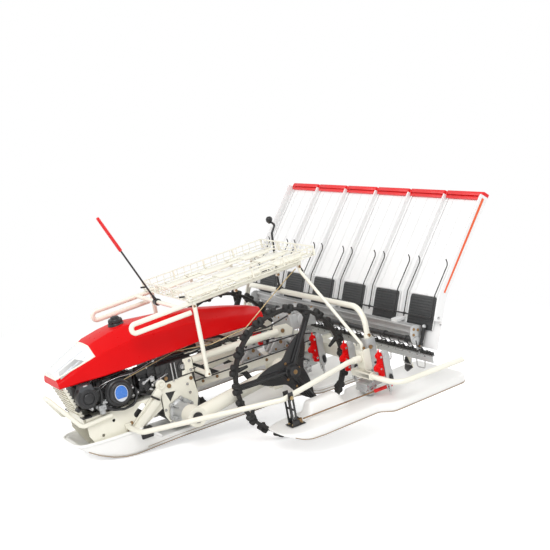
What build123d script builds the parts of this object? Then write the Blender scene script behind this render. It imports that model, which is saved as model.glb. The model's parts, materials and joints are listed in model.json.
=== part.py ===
from build123d import *

import math
import os

# Six-row walk-behind rice transplanter, in millimetres.
# Machine frame: X to the machine's left, Y to the rear, Z up, with the wheel axle at Y 0 and
# Z axle_height. At the end the whole machine is set down as it parks: on both wheels and on the
# nose of the centre float.

# ---- wheels -------------------------------------------------------------------------------
wheel_radius = 330.0  # to the lug tips
axle_height = wheel_radius
wheel_x = 355.0  # centre plane of each wheel
hoop_radius = 303.0
hoop_wall = 6.0
hoop_width = 44.0
lug_width = 60.0
lug_seat = 0.2
hub_radius = 42.0
hub_inner_x = 322.0
hub_outer_x = 390.0
axle_radius = 17.0
running_fit = 0.08
spoke_count = 3
spoke_width = 30.0
spoke_depth = 16.0
web_thickness = 8.0
web_reach = 205.0
web_waist = 80.0

# ---- clearances ----------------------------------------------------------------------------
seat_gap = 0.3  # between pieces that seat on each other
moving_gap = 6.0

# ---- floats --------------------------------------------------------------------------------
float_bottom = 105.0
deck_height = 52.0  # basin floor above the float's bottom
centre_nose_start = -760.0  # where the bottom starts to rise
centre_nose_radius = 420.0
centre_nose_angle = 45.0
gunwale_height = 120.0
gunwale_rear = -740.0
basin_rear = -648.0
float_wall = 14.0
centre_float_rear = 620.0
side_float_x = 610.0
side_deck_height = 48.0
side_nose_start = -135.0
side_nose_radius = 190.0
side_nose_angle = 45.0
side_float_rear = 700.0
side_float_tilt = 2.0
mound_height = 74.0

# ---- frame ---------------------------------------------------------------------------------
frame_half = 122.0  # outer face of the front frame's side plates
frame_plate = 4.0
frame_front = -985.0
frame_rear = -600.0
bed_height = 350.0
frame_foot_front = -925.0
frame_foot_rear = -800.0
tie_hole_radius = 8.0
tie_holes = ((-853.0, 301.0), (-917.0, 247.0))  # Y, Z
guard_tube_radius = 11.0
guard_tip_y = -1112.0
guard_tip_z = 467.0
guard_tip_half = 34.0
panel_thickness = 8.0
panel_half = 130.0

gearbox_front = frame_rear
gearbox_rear = -400.0
gearbox_bottom = 190.0
gearbox_top = 490.0
cheek_thickness = 6.0
pivot_y = -512.0
pivot_z = 245.0
housing_radius = 60.0
housing_neck = 45.0
housing_end_x = 236.0
arm_x = 283.0
arm_tube_radius = 35.0
arm_end_radius = 48.0
arm_half = 34.0

main_tube_x = 110.0
main_tube_z = 465.0
main_tube_radius = 19.0
main_tube_rear = 72.0
end_plate_rear = 182.0
end_plate_thickness = 8.0
beam_half = 40.0
beam_bottom = 300.0
beam_top = 345.0

side_tube_radius = 13.0
link_y = -200.0
link_z = 290.0
link_bar = 26.0
link_thickness = 6.0
link_spread = 25.0
link_slot = 10.0
bracket_depth = 40.0

# ---- engine and bonnet -----------------------------------------------------------------------
engine_front = -940.0
engine_rear = -690.0
engine_left = 105.0
engine_right = -120.0
engine_top = 500.0
recoil_y = -810.0
recoil_z = 435.0
recoil_radius = 78.0
recoil_depth = 80.0
cleaner_y = -965.0
cleaner_z = 455.0
cleaner_radius = 54.0
cleaner_depth = 78.0
bonnet_wall = 4.0
# bonnet sections: Y, half width low, half width at shoulder, ridge half width, Z low, Z shoulder, Z ridge
bonnet_sections = (
    (-1072.0, 112.0, 104.0, 50.0, 520.0, 548.0, 586.0),
    (-860.0, 165.0, 156.0, 78.0, 534.0, 636.0, 682.0),
    (-690.0, 172.0, 158.0, 70.0, 540.0, 662.0, 718.0),
    (-292.0, 120.0, 108.0, 48.0, 546.0, 634.0, 684.0),
    (66.0, 58.0, 50.0, 26.0, 520.0, 556.0, 590.0),
)
lamp_rear = -862.0
lamp_low_front = 556.0
lamp_low_rear = 640.0
bulkhead_y = -500.0
cap_y = -700.0
cap_radius = 32.0
cap_height = 30.0
boss_height = 8.0

# ---- planting unit ---------------------------------------------------------------------------
row_pitch = 300.0
rows = 6
case_x = (-600.0, 0.0, 600.0)
column_half = 25.0
column_front = 290.0
column_rear = 340.0
column_bottom = 205.0
column_top = 440.0
crank_y = 300.0
crank_z = 262.0
crank_radius = 14.0
arm_case_half = 14.0
cross_beam_half = 640.0
cross_beam_depth = 50.0
cross_beam_bottom = 280.0
cross_beam_top = 340.0
hoop_z = 590.0
hoop_tube_radius = 14.0

# ---- tray and its guide ------------------------------------------------------------------------
tray_bottom = (487.0, 372.0)  # Y, Z of the front face
tray_bend = (580.0, 600.0)
tray_top = (905.0, 1005.0)
tray_bend_radius = 260.0
tray_thickness = 5.0
tray_half = 905.0
rib_width = 8.0
rib_height = 22.0
rib_start = 134.0  # along the lower slope
flange_height = 38.0
belt_width = 206.0
belt_thickness = 10.0
belt_start = 112.0
belt_end = 262.0
cap_depth = 36.0
cap_rise = 20.0
cap_gap = 8.0
rod_radius = 3.0
rod_offset = 108.0
rod_rise = 150.0  # above the tray's bend
rod_bar_drop = 104.0  # below the bend
guide_half = 790.0
guide_front = 470.0
guide_rear = 500.0
guide_bottom = 435.0
guide_top = 475.0
shaft_y = 455.0
shaft_z = 412.0
shaft_radius = 14.0
rail_half = 900.0
rail_front = 460.0
rail_rear = 474.0
rail_bottom = 352.0
rail_top = 366.0
lower_rail_bottom = 315.0

# ---- rack, handles, markers ------------------------------------------------------------------
rack_half = 250.0
rack_tube_radius = 12.0
rack_slope = 0.0667
rack_mid_z = 798.0  # tube centre at Y 0
rack_front = -420.0
rack_rear = 300.0
basket_half = 275.0
basket_bar = 8.0
basket_rail_height = 48.0
hairpin_front = -720.0
handle_x = 215.0
handle_spread = 30.0
handle_knee = (988.0, 832.0)  # Y, Z
handle_end = (1114.0, 844.0)
handle_radius = 14.0
grip_radius = 18.0
grip_length = 120.0
marker_y = -470.0
marker_rod_radius = 5.0
marker_length = 400.0
marker_lean = 24.0
marker_grip_radius = 9.0
side_marker_spread = 52.0
side_marker_rise = 26.0
side_marker_length = 390.0
lever_x = -200.0


machine = {}


def keep(builder, node):
    """Label a finished piece and keep it for the parking move."""
    builder.part.label = node
    machine[node] = builder.part


def add_bar(points, radius, bend=0.0, mode=Mode.ADD):
    """Add a round bar along straight runs joined by bends to the piece being built."""
    with BuildLine(mode=Mode.PRIVATE) as path:
        if len(points) == 2:
            Line(*points)
        else:
            FilletPolyline(*points, radius=bend)
    with BuildSketch(Plane(origin=path.line @ 0, z_dir=path.line % 0)) as section:
        Circle(radius)
    sweep(section.sketch, path=path.line, mode=mode)


def add_box(low, high, mode=Mode.ADD):
    """Add a box between two corners to the piece being built."""
    size = [high[i] - low[i] for i in range(3)]
    centre = [(high[i] + low[i]) / 2 for i in range(3)]
    with Locations(tuple(centre)):
        Box(*size, mode=mode)


def add_disc(x_from, x_to, y, z, radius, mode=Mode.ADD):
    """Add a cylinder whose axis lies along X to the piece being built."""
    with BuildSketch(Plane.YZ.offset(x_from)) as disc:
        with Locations((y, z)):
            Circle(radius)
    extrude(disc.sketch, amount=x_to - x_from, mode=mode)


def add_side_plate(outline, x_from, x_to, mode=Mode.ADD):
    """Add a flat plate with a side outline of (Y, Z) points to the piece being built."""
    with BuildSketch(Plane.YZ.offset(x_from)) as plate:
        with BuildLine():
            Polyline(*outline, close=True)
        make_face()
    extrude(plate.sketch, amount=x_to - x_from, mode=mode)


def rack_z(y):
    """Height of the rack tubes' centre line."""
    return rack_mid_z + rack_slope * y


# ---- parking pose ------------------------------------------------------------------------------
# The nose arc's centre ends up one arc radius above the floor when the machine leans forward.
nose_reach = -centre_nose_start
nose_rise = float_bottom + centre_nose_radius - axle_height
park_pitch = math.degrees(
    math.acos((centre_nose_radius - axle_height) / math.hypot(nose_reach, nose_rise))
    - math.atan2(nose_reach, nose_rise)
)

# ---- wheels and their tyres ----------------------------------------------------------------------
sides = (("left", 1), ("right", -1))
for side, sign in sides:
    hub_x = (sign * hub_inner_x, sign * hub_outer_x)
    with BuildPart() as wheel:
        with BuildSketch(Plane.YZ.offset(sign * wheel_x - hoop_width / 2)):
            with Locations((0, axle_height)):
                Circle(hoop_radius)
                Circle(hoop_radius - hoop_wall, mode=Mode.SUBTRACT)
        extrude(amount=hoop_width)
        add_disc(hub_x[0], hub_x[1], 0, axle_height, hub_radius)
        spoke_length = hoop_radius - hoop_wall / 2 - hub_radius / 2
        with BuildSketch(Plane.YZ.offset(sign * wheel_x - spoke_depth / 2)):
            with Locations((0, axle_height)):
                with PolarLocations(hub_radius / 2 + spoke_length / 2, spoke_count, 60):
                    Rectangle(spoke_length, spoke_width)
        extrude(amount=spoke_depth)
        # web plate: three tips along the spokes with hollowed edges between them
        tips = [
            (
                web_reach * math.cos(math.radians(60 + 120 * k)),
                axle_height + web_reach * math.sin(math.radians(60 + 120 * k)),
            )
            for k in range(spoke_count)
        ]
        waists = [
            (
                web_waist * math.cos(math.radians(120 + 120 * k)),
                axle_height + web_waist * math.sin(math.radians(120 + 120 * k)),
            )
            for k in range(spoke_count)
        ]
        with BuildSketch(Plane.YZ.offset(sign * wheel_x - web_thickness / 2)):
            with BuildLine():
                for k in range(spoke_count):
                    ThreePointArc(tips[k], waists[k], tips[(k + 1) % spoke_count])
            make_face()
        extrude(amount=web_thickness)
        add_disc(hub_x[0], hub_x[1], 0, axle_height, axle_radius + running_fit, Mode.SUBTRACT)
    keep(wheel, f"wheel_{side}")

    with BuildPart() as tyre:
        with BuildSketch(Plane.YZ.offset(sign * wheel_x - lug_width / 2)):
            with Locations((0, axle_height)):
                Circle(wheel_radius)
                Circle(hoop_radius + lug_seat, mode=Mode.SUBTRACT)
        extrude(amount=lug_width)
    keep(tyre, f"tyre_{side}")

    # swing arm: the wheel's chain case, with the axle stub and its nut
    with BuildPart() as swing_arm:
        add_disc(
            sign * (housing_end_x + seat_gap), sign * (arm_x + arm_half), pivot_y, pivot_z, arm_end_radius
        )
        add_disc(sign * (arm_x - arm_half), sign * (arm_x + arm_half), 0, axle_height, arm_end_radius)
        add_bar(((sign * arm_x, pivot_y, pivot_z), (sign * arm_x, 0, axle_height)), arm_tube_radius)
        add_disc(sign * arm_x, sign * (hub_outer_x + 10), 0, axle_height, axle_radius)
        add_disc(
            sign * (hub_outer_x + 0.5), sign * (hub_outer_x + 12), 0, axle_height, axle_radius + 7
        )
    keep(swing_arm, f"swing_arm_{side}")

# ---- centre float: hull with an open basin at the nose -------------------------------------------
nose_drop = centre_nose_radius * math.sin(math.radians(centre_nose_angle))
nose_lift = centre_nose_radius * (1 - math.cos(math.radians(centre_nose_angle)))
nose_tip = (centre_nose_start - nose_drop, float_bottom + nose_lift)
gunwale = float_bottom + gunwale_height
deck = float_bottom + deck_height
rear_deck = deck - 10
# plan outline of the centre float's left half: Y, half width
centre_plan = (
    (nose_tip[0] - 1, 60),
    (-1020, 134),
    (-930, 152),
    (-820, 158),
    (-660, 138),
    (-540, 125),
    (130, 125),
    (230, 215),
    (centre_float_rear, 215),
)
with BuildPart() as centre_float:
    with BuildSketch(Plane.YZ.offset(-250)):
        with BuildLine():
            half_angle = math.radians(centre_nose_angle / 2)
            middle = (
                centre_nose_start - centre_nose_radius * math.sin(half_angle),
                float_bottom + centre_nose_radius * (1 - math.cos(half_angle)),
            )
            Line((centre_float_rear, float_bottom), (centre_nose_start, float_bottom))
            ThreePointArc((centre_nose_start, float_bottom), middle, nose_tip)
            Polyline(
                nose_tip,
                (nose_tip[0] + 14, gunwale + 6),
                (nose_tip[0] + 60, gunwale),
                (gunwale_rear, gunwale),
                (basin_rear + 30, rear_deck),
                (centre_float_rear, rear_deck),
                (centre_float_rear, float_bottom),
            )
        make_face()
    extrude(amount=500)
    with BuildSketch(Plane.XY):
        with BuildLine():
            left = [(half, y) for y, half in centre_plan]
            right = [(-half, y) for y, half in reversed(centre_plan)]
            Polyline(*left, *right, close=True)
        make_face()
    extrude(amount=gunwale + 50, mode=Mode.INTERSECT)
    with BuildSketch(Plane.XY.offset(deck)):
        with BuildLine():
            inner = [
                (half - float_wall, y + (float_wall + 22 if y < -1000 else 0))
                for y, half in centre_plan
                if y < basin_rear
            ]
            inner.append((centre_plan[4][1] - float_wall, basin_rear))
            Polyline(*inner, *[(-x, y) for x, y in reversed(inner)], close=True)
        make_face()
    extrude(amount=gunwale_height, mode=Mode.SUBTRACT)
keep(centre_float, "centre_float")

# ---- side floats -----------------------------------------------------------------------------------
side_drop = side_nose_radius * math.sin(math.radians(side_nose_angle))
side_lift = side_nose_radius * (1 - math.cos(math.radians(side_nose_angle)))
side_tip = (side_nose_start - side_drop, float_bottom + side_lift)
side_deck = float_bottom + side_deck_height
# plan outline of a side float: Y, half width
side_plan = (
    (side_tip[0] - 1, 62),
    (side_tip[0] + 26, 112),
    (-180, 142),
    (-90, 150),
    (215, 150),
    (262, 215),
    (side_float_rear - 30, 215),
    (side_float_rear, 185),
)
for side, sign in sides:
    with BuildPart() as side_float:
        with BuildSketch(Plane.YZ.offset(sign * side_float_x - 250)):
            with BuildLine():
                half_angle = math.radians(side_nose_angle / 2)
                middle = (
                    side_nose_start - side_nose_radius * math.sin(half_angle),
                    float_bottom + side_nose_radius * (1 - math.cos(half_angle)),
                )
                Line((side_float_rear, float_bottom), (side_nose_start, float_bottom))
                ThreePointArc((side_nose_start, float_bottom), middle, side_tip)
                Polyline(
                    side_tip,
                    (side_tip[0] + 20, side_deck),
                    (side_float_rear, side_deck),
                    (side_float_rear, float_bottom),
                )
            make_face()
        extrude(amount=500)
        with BuildSketch(Plane.XY):
            with BuildLine():
                left = [(sign * side_float_x + half, y) for y, half in side_plan]
                right = [(sign * side_float_x - half, y) for y, half in reversed(side_plan)]
                Polyline(*left, *right, close=True)
            make_face()
        extrude(amount=side_deck + 50, mode=Mode.INTERSECT)
        with BuildSketch(Plane.XY.offset(side_deck)):
            with Locations((sign * (side_float_x - 35), 20)):
                Rectangle(100, 220)
        extrude(amount=mound_height, taper=24)
    side_float.part = side_float.part.rotate(Axis((0, link_y, side_deck), (1, 0, 0)), side_float_tilt)
    keep(side_float, f"float_{side}")

# ---- front frame: engine bed with folded side plates ------------------------------------------------
side_outline = (
    (frame_front, bed_height),
    (frame_rear - seat_gap, bed_height),
    (frame_rear - seat_gap, bed_height - 70),
    (-700, 228),
    (frame_foot_rear, deck + seat_gap),
    (frame_foot_front, deck + seat_gap),
    (frame_front, 262),
)
for side, sign in sides:
    x_low = frame_half - frame_plate if sign > 0 else -frame_half
    with BuildPart() as frame_side:
        add_side_plate(side_outline, x_low, x_low + frame_plate)
        for hole_y, hole_z in tie_holes:
            add_disc(x_low, x_low + frame_plate, hole_y, hole_z, tie_hole_radius, Mode.SUBTRACT)
        with BuildSketch(Plane.YZ.offset(x_low)):
            with Locations((-716, 308)):
                SlotOverall(78, 30, rotation=38)
        extrude(amount=frame_plate, mode=Mode.SUBTRACT)
    keep(frame_side, f"frame_side_{side}")

# engine bed and foot plate between the side plates
with BuildPart() as front_frame:
    add_box(
        (-frame_half + frame_plate, frame_front, bed_height - frame_plate),
        (frame_half - frame_plate, frame_rear - seat_gap, bed_height),
    )
    add_box(
        (-frame_half + frame_plate, frame_foot_front, deck + seat_gap),
        (frame_half - frame_plate, frame_foot_rear, deck + seat_gap + frame_plate),
    )
keep(front_frame, "front_frame")

# braces from the frame's foot up to the gearbox, one on each side
with BuildPart() as frame_braces:
    for sign in (1, -1):
        x_low = frame_half + seat_gap if sign > 0 else -frame_half - seat_gap - 8
        add_side_plate(
            ((-800, 212), (-770, 186), (-600, 316), (-614, 366), (-652, 352)), x_low, x_low + 8
        )
keep(frame_braces, "frame_braces")

guard_x = frame_half + guard_tube_radius + seat_gap
with BuildPart() as front_guard:
    add_bar(
        (
            (guard_x, -860, 334),
            (guard_x, -1012, 322),
            (guard_tip_half, guard_tip_y, guard_tip_z),
            (-guard_tip_half, guard_tip_y, guard_tip_z),
            (-guard_x, -1012, 322),
            (-guard_x, -860, 334),
        ),
        guard_tube_radius,
        30,
    )
keep(front_guard, "front_guard")

# front panel: ribbed sheet that leans forward from the bed to the bonnet's nose
panel_top_z = bonnet_sections[0][4] - seat_gap
with BuildPart() as front_panel:
    panel_outline = (
        (frame_front - panel_thickness - seat_gap, bed_height - 26),
        (frame_front - seat_gap, bed_height - 26),
        (frame_front - seat_gap, bed_height),
        (-1046, panel_top_z),
        (-1046 - panel_thickness, panel_top_z),
        (frame_front - panel_thickness - seat_gap, bed_height),
    )
    add_side_plate(panel_outline, -104, 104)
keep(front_panel, "front_panel")

# ---- engine -----------------------------------------------------------------------------------------
with BuildPart() as engine:
    add_box((engine_right, engine_front, bed_height), (engine_left - 35, engine_rear, engine_top))
    add_disc(engine_left - 36, engine_left, recoil_y, recoil_z + 4, recoil_radius + 14 - 10)
    add_box((-92, engine_front - 44, 384), (88, engine_front + 1, 488))
    add_box((60, -965, 420), (engine_left, -905, 482))
    add_box((engine_right - 44, -930, 400), (engine_right, -760, 496))
keep(engine, "engine")

with BuildPart() as recoil_starter:
    add_disc(
        engine_left + seat_gap, engine_left + recoil_depth, recoil_y, recoil_z, recoil_radius
    )
    fillet(recoil_starter.faces().sort_by(Axis.X)[-1].edges(), 16)
keep(recoil_starter, "recoil_starter")

with BuildPart() as air_cleaner:
    add_disc(
        engine_left + seat_gap, engine_left + cleaner_depth, cleaner_y, cleaner_z, cleaner_radius
    )
    add_box(
        (engine_left + seat_gap, cleaner_y - 34, cleaner_z),
        (engine_left + cleaner_depth - 14, cleaner_y + 34, 520),
    )
keep(air_cleaner, "air_cleaner")

# ---- bonnet shell, headlight and fuel cap ---------------------------------------------------------


def bonnet_loft(rows_table, mode=Mode.ADD):
    """Loft the bonnet's six-sided sections into the piece being built."""
    sections = []
    for y, low, shoulder, ridge, z_low, z_shoulder, z_ridge in rows_table:
        with BuildSketch(Plane.XZ.offset(-y)) as section:
            with BuildLine():
                half = ((low, z_low), (shoulder, z_shoulder), (ridge, z_ridge))
                Polyline(*half, *[(-x, z) for x, z in reversed(half)], close=True)
            make_face()
        sections.append(section.sketch)
    loft(sections, ruled=True, mode=mode)


inner_sections = []
for index, (y, low, shoulder, ridge, z_low, z_shoulder, z_ridge) in enumerate(bonnet_sections):
    inner_y = y
    if index == 0:
        inner_y = y + bonnet_wall
    if index == len(bonnet_sections) - 1:
        inner_y = y - bonnet_wall
    wall = bonnet_wall
    inner_sections.append(
        (inner_y, low - wall, shoulder - wall, ridge - wall / 2, z_low - 30, z_shoulder - wall, z_ridge - wall)
    )

lamp_outline = (
    (bonnet_sections[0][0] - 20, lamp_low_front),
    (lamp_rear, lamp_low_rear),
    (lamp_rear, 800),
    (bonnet_sections[0][0] - 20, 800),
)
with BuildPart() as bonnet:
    bonnet_loft(bonnet_sections)
    bonnet_loft(inner_sections, Mode.SUBTRACT)
    add_side_plate(lamp_outline, -250, 250, Mode.SUBTRACT)
    # bulkhead that carries the bonnet on the gearbox
    add_box((-90, bulkhead_y, gearbox_top + seat_gap), (90, bulkhead_y + 12, 672))
    with Locations((0, cap_y, bonnet_sections[2][6] + boss_height / 2 - 4)):
        Cylinder(cap_radius + 6, boss_height + 8)
keep(bonnet, "bonnet")

with BuildPart() as headlight:
    bonnet_loft(bonnet_sections)
    add_side_plate(lamp_outline, -250, 250, Mode.INTERSECT)
keep(headlight, "headlight")

cap_seat = bonnet_sections[2][6] + boss_height
with BuildPart() as fuel_cap:
    with Locations((0, cap_y, cap_seat + cap_height / 2)):
        Cylinder(cap_radius, cap_height)
    fillet(fuel_cap.faces().sort_by(Axis.Z)[-1].edges(), 6)
keep(fuel_cap, "fuel_cap")

# ---- gearbox, its cheeks and axle housings --------------------------------------------------------
with BuildPart() as gearbox:
    add_box((-frame_half, gearbox_front, gearbox_bottom), (frame_half, gearbox_rear, gearbox_top))
    chamfer(gearbox.faces().sort_by(Axis.Z)[0].edges().filter_by(Axis.X), 40)
keep(gearbox, "gearbox")

with BuildPart() as gearbox_cheeks:
    for sign in (1, -1):
        x_low = frame_half if sign > 0 else -frame_half - cheek_thickness
        add_side_plate(
            ((-596, 396), (-420, 404), (-404, 300), (-440, 176), (-560, 168), (-596, 240)),
            x_low,
            x_low + cheek_thickness,
        )
        add_side_plate(
            ((-574, 352), (-520, 346), (-556, 300)), x_low, x_low + cheek_thickness, Mode.SUBTRACT
        )
keep(gearbox_cheeks, "gearbox_cheeks")

with BuildPart() as axle_housings:
    for sign in (1, -1):
        face = frame_half + cheek_thickness
        add_disc(sign * face, sign * (face + 26), pivot_y, pivot_z, housing_radius)
        add_disc(sign * (face + 26), sign * housing_end_x, pivot_y, pivot_z, housing_neck)
keep(axle_housings, "axle_housings")

# ---- beams that join the gearbox to the planting unit ---------------------------------------------
with BuildPart() as main_tubes:
    for sign in (1, -1):
        add_bar(
            (
                (sign * main_tube_x, gearbox_rear + seat_gap, main_tube_z),
                (sign * main_tube_x, main_tube_rear + 20, main_tube_z),
            ),
            main_tube_radius,
        )
        add_side_plate(
            (
                (main_tube_rear, main_tube_z + 34),
                (end_plate_rear - 30, main_tube_z + 28),
                (end_plate_rear, main_tube_z - 2),
                (end_plate_rear - 8, main_tube_z - 34),
                (main_tube_rear, main_tube_z - 26),
            ),
            sign * main_tube_x - end_plate_thickness / 2,
            sign * main_tube_x + end_plate_thickness / 2,
        )
keep(main_tubes, "main_tubes")

with BuildPart() as drive_beam:
    add_box(
        (-beam_half, gearbox_rear + seat_gap, beam_bottom),
        (beam_half, column_front - seat_gap, beam_top),
    )
    # hanger that carries the rear of the centre float
    for x in (-30, 24):
        add_box((x, 60, rear_deck + seat_gap), (x + 6, 110, beam_bottom + 1))
keep(drive_beam, "drive_beam")

# ---- side tubes, float links, side brackets and rear guards ---------------------------------------
for side, sign in sides:
    bracket_face = column_front - seat_gap
    tube_end = bracket_face - bracket_depth - seat_gap
    tube_run = (
        (sign * (frame_half + seat_gap), -792, 250),
        (sign * (frame_half + 46), -792, 250),
        (sign * 245, -772, 240),
        (sign * side_float_x, link_y, link_z),
        (sign * side_float_x, tube_end - 70, link_z + 67),
        (sign * side_float_x, tube_end, link_z + 67),
    )
    tube_bends = (30, 50, 60, 60)
    with BuildPart() as side_tube:
        add_bar(tube_run, side_tube_radius, tube_bends)
    keep(side_tube, f"side_tube_{side}")

    # slotted link: two black bars on a foot that is bolted to the float's deck
    link_bottom = side_deck + seat_gap + 78 * math.tan(math.radians(side_float_tilt))
    with BuildPart() as float_link:
        for offset in (-link_spread, link_spread - link_thickness):
            x_low = sign * side_float_x + offset
            add_box(
                (x_low, link_y + side_tube_radius + 4, link_bottom),
                (x_low + link_thickness, link_y + side_tube_radius + 4 + link_bar, link_z + 30),
            )
            with BuildSketch(Plane.YZ.offset(x_low)):
                with Locations((link_y + side_tube_radius + 4 + link_bar / 2, link_bottom + 78)):
                    SlotOverall(96, link_slot, rotation=90)
            extrude(amount=link_thickness, mode=Mode.SUBTRACT)
        add_box(
            (sign * side_float_x - link_spread, link_y + 8, link_bottom),
            (sign * side_float_x + link_spread, link_y + 78, link_bottom + 6),
        )
        # pins that hang the link on the side tube, one from each bar
        add_disc(
            sign * side_float_x - link_spread,
            sign * side_float_x + link_spread,
            link_y + side_tube_radius + 4 + link_bar / 2,
            link_z + 5,
            6,
        )
        add_bar(tube_run, side_tube_radius + seat_gap, tube_bends, Mode.SUBTRACT)
    keep(float_link, f"float_link_{side}")

    # bracket on the planting case, with the cross tube and the guard round the outer arm
    with BuildPart() as rear_guard:
        add_box(
            (sign * side_float_x - 34, bracket_face - bracket_depth, 296),
            (sign * side_float_x + 26, bracket_face, 392),
        )
        add_box(
            (sign * side_float_x - 16, bracket_face - bracket_depth - 16, 272),
            (sign * side_float_x + 16, bracket_face, 303),
        )
        guard_y = bracket_face - bracket_depth - 13
        low_x, high_x = sorted((sign * (side_float_x - 60), sign * (side_float_x + 96)))
        add_box((low_x, guard_y - 15, 272), (high_x, guard_y + 15, 302))
        add_bar(
            (
                (sign * (side_float_x + 80), guard_y, 287),
                (sign * (side_float_x + 130), guard_y, 287),
                (sign * 872, guard_y + 30, 270),
                (sign * 884, 640, 280),
            ),
            side_tube_radius,
            (60, 80),
        )
    keep(rear_guard, f"rear_guard_{side}")

# ---- planting unit: three cases, six arms, cross beam and hoop -------------------------------------
with BuildPart() as planting_cases:
    for x in case_x:
        add_box(
            (x - column_half, column_front, column_bottom), (x + column_half, column_rear, column_top)
        )
        reach = row_pitch / 2 - arm_case_half - seat_gap
        add_disc(x - reach, x + reach, crank_y, crank_z, crank_radius)
        add_disc(x - 44, x + 44, crank_y - 40, 208, 30)
        add_box((x - 30, crank_y - 44, 196), (x + 30, column_front + 1, 236))
keep(planting_cases, "planting_cases")

row_x = [(index - (rows - 1) / 2) * row_pitch for index in range(rows)]
with BuildPart() as planting_arms:
    for x in row_x:
        case_outline = ((-23, 400), (-3, 408), (19, 372), (21, 250), (5, 232), (-19, 240))
        add_side_plate(
            [(crank_y + y, z) for y, z in case_outline], x - arm_case_half, x + arm_case_half
        )
        add_box((x - 6, crank_y - 9, 198), (x + 6, crank_y + 7, 240))
keep(planting_arms, "planting_arms")

with BuildPart() as arm_covers:
    for x in row_x:
        cover_back = crank_y - 23 - seat_gap
        add_side_plate(
            (
                (cover_back, 396),
                (cover_back, 262),
                (cover_back - 16, 262),
                (cover_back - 22, 300),
                (cover_back - 16, 392),
                (cover_back - 8, 402),
            ),
            x - arm_case_half,
            x + arm_case_half,
        )
keep(arm_covers, "arm_covers")

beam_front = column_rear + seat_gap
beam_rear = beam_front + cross_beam_depth
with BuildPart() as cross_beam:
    add_box(
        (-cross_beam_half, beam_front, cross_beam_bottom), (cross_beam_half, beam_rear, cross_beam_top)
    )
    for x in (-430, 0, 430):
        add_box((x - 12, beam_rear - 1, 318), (x + 12, rail_front - seat_gap, 338))
keep(cross_beam, "cross_beam")

with BuildPart() as cross_hoop:
    add_bar(
        (
            (case_x[0], (column_front + column_rear) / 2, column_top + seat_gap),
            (case_x[0], (column_front + column_rear) / 2, hoop_z),
            (case_x[-1], (column_front + column_rear) / 2, hoop_z),
            (case_x[-1], (column_front + column_rear) / 2, column_top + seat_gap),
        ),
        hoop_tube_radius,
        90,
    )
keep(cross_hoop, "cross_hoop")

# ---- feed case and the tray's guide -----------------------------------------------------------------
with BuildPart() as feed_case:
    add_box((-96, end_plate_rear + seat_gap, column_top + seat_gap), (96, 340, 538))
    chamfer(feed_case.faces().sort_by(Axis.Z)[-1].edges(), 14)
    for x in (-70, 54):
        add_box((x, 339, 448), (x + 16, guide_front - seat_gap, 466))
keep(feed_case, "feed_case")

with BuildPart() as guide_channel:
    add_box((-guide_half, guide_front, guide_bottom), (guide_half, guide_rear, guide_top))
    add_box(
        (-guide_half, guide_front - 1, guide_bottom + 12),
        (guide_half, guide_front + 8, guide_top - 12),
        Mode.SUBTRACT,
    )

    # end plates that carry the shaft and stand on the rail
    for sign in (1, -1):
        x_low = guide_half if sign > 0 else -guide_half - 10
        add_side_plate(
            ((436, 480), (478, 486), (480, rail_top + 40), (480, rail_top), (452, rail_top), (430, 410)),
            x_low,
            x_low + 10,
        )
keep(guide_channel, "guide_channel")

with BuildPart() as feed_shaft:
    add_disc(-guide_half + seat_gap, guide_half - seat_gap, shaft_y, shaft_z, shaft_radius)
keep(feed_shaft, "feed_shaft")

with BuildPart() as seedling_rail:
    add_box((-rail_half, rail_front, rail_bottom), (rail_half, rail_rear, rail_top))
keep(seedling_rail, "seedling_rail")

with BuildPart() as lower_rail:
    add_box((-rail_half, rail_front, lower_rail_bottom), (rail_half, rail_rear + 2, rail_bottom))
    add_box(
        (-rail_half, rail_front + 5, lower_rail_bottom - 1),
        (rail_half, rail_rear + 3, rail_bottom - 8),
        Mode.SUBTRACT,
    )
keep(lower_rail, "lower_rail")

# ---- seedling tray, which slides sideways on the guide ----------------------------------------------
lower_slope = Vector(0, tray_bend[0] - tray_bottom[0], tray_bend[1] - tray_bottom[1]).normalized()
upper_slope = Vector(0, tray_top[0] - tray_bend[0], tray_top[1] - tray_bend[1]).normalized()
lower_normal = Vector(0, -lower_slope.Z, lower_slope.Y)
upper_normal = Vector(0, -upper_slope.Z, upper_slope.Y)


def tray_line(offset):
    """The tray's side line, moved forward of its front face by an offset: three (Y, Z) points."""
    bottom = Vector(0, *tray_bottom) + lower_normal * offset
    top = Vector(0, *tray_top) + upper_normal * offset
    turn = lower_slope.get_angle(upper_slope) / 2
    middle = (lower_normal + upper_normal).normalized()
    bend = Vector(0, *tray_bend) + middle * (offset / math.cos(math.radians(turn)))
    return [(bottom.Y, bottom.Z), (bend.Y, bend.Z), (top.Y, top.Z)]


def add_tray_strip(front, back, x_from, x_to, start=0.0):
    """Add a strip of the tray's side shape between two offsets and two X to the piece being built."""
    with BuildSketch(Plane.YZ.offset(x_from)) as strip:
        with BuildLine():
            near, far = tray_line(front), tray_line(back)
            step = lower_slope * start
            near[0] = (near[0][0] + step.Y, near[0][1] + step.Z)
            far[0] = (far[0][0] + step.Y, far[0][1] + step.Z)
            Polyline(*near, *reversed(far), close=True)
        make_face()
    extrude(strip.sketch, amount=x_to - x_from)


lane_lines = [(index - rows / 2) * row_pitch for index in range(rows + 1)]
with BuildPart() as tray_panel:
    add_tray_strip(0, -tray_thickness, -tray_half, tray_half)
    # shoes that ride on the guide channel
    for x in (-600, 0, 600):
        add_box((x - 22, guide_front + 8, guide_top + seat_gap), (x + 22, 534, guide_top + 14))
keep(tray_panel, "tray_panel")

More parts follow.
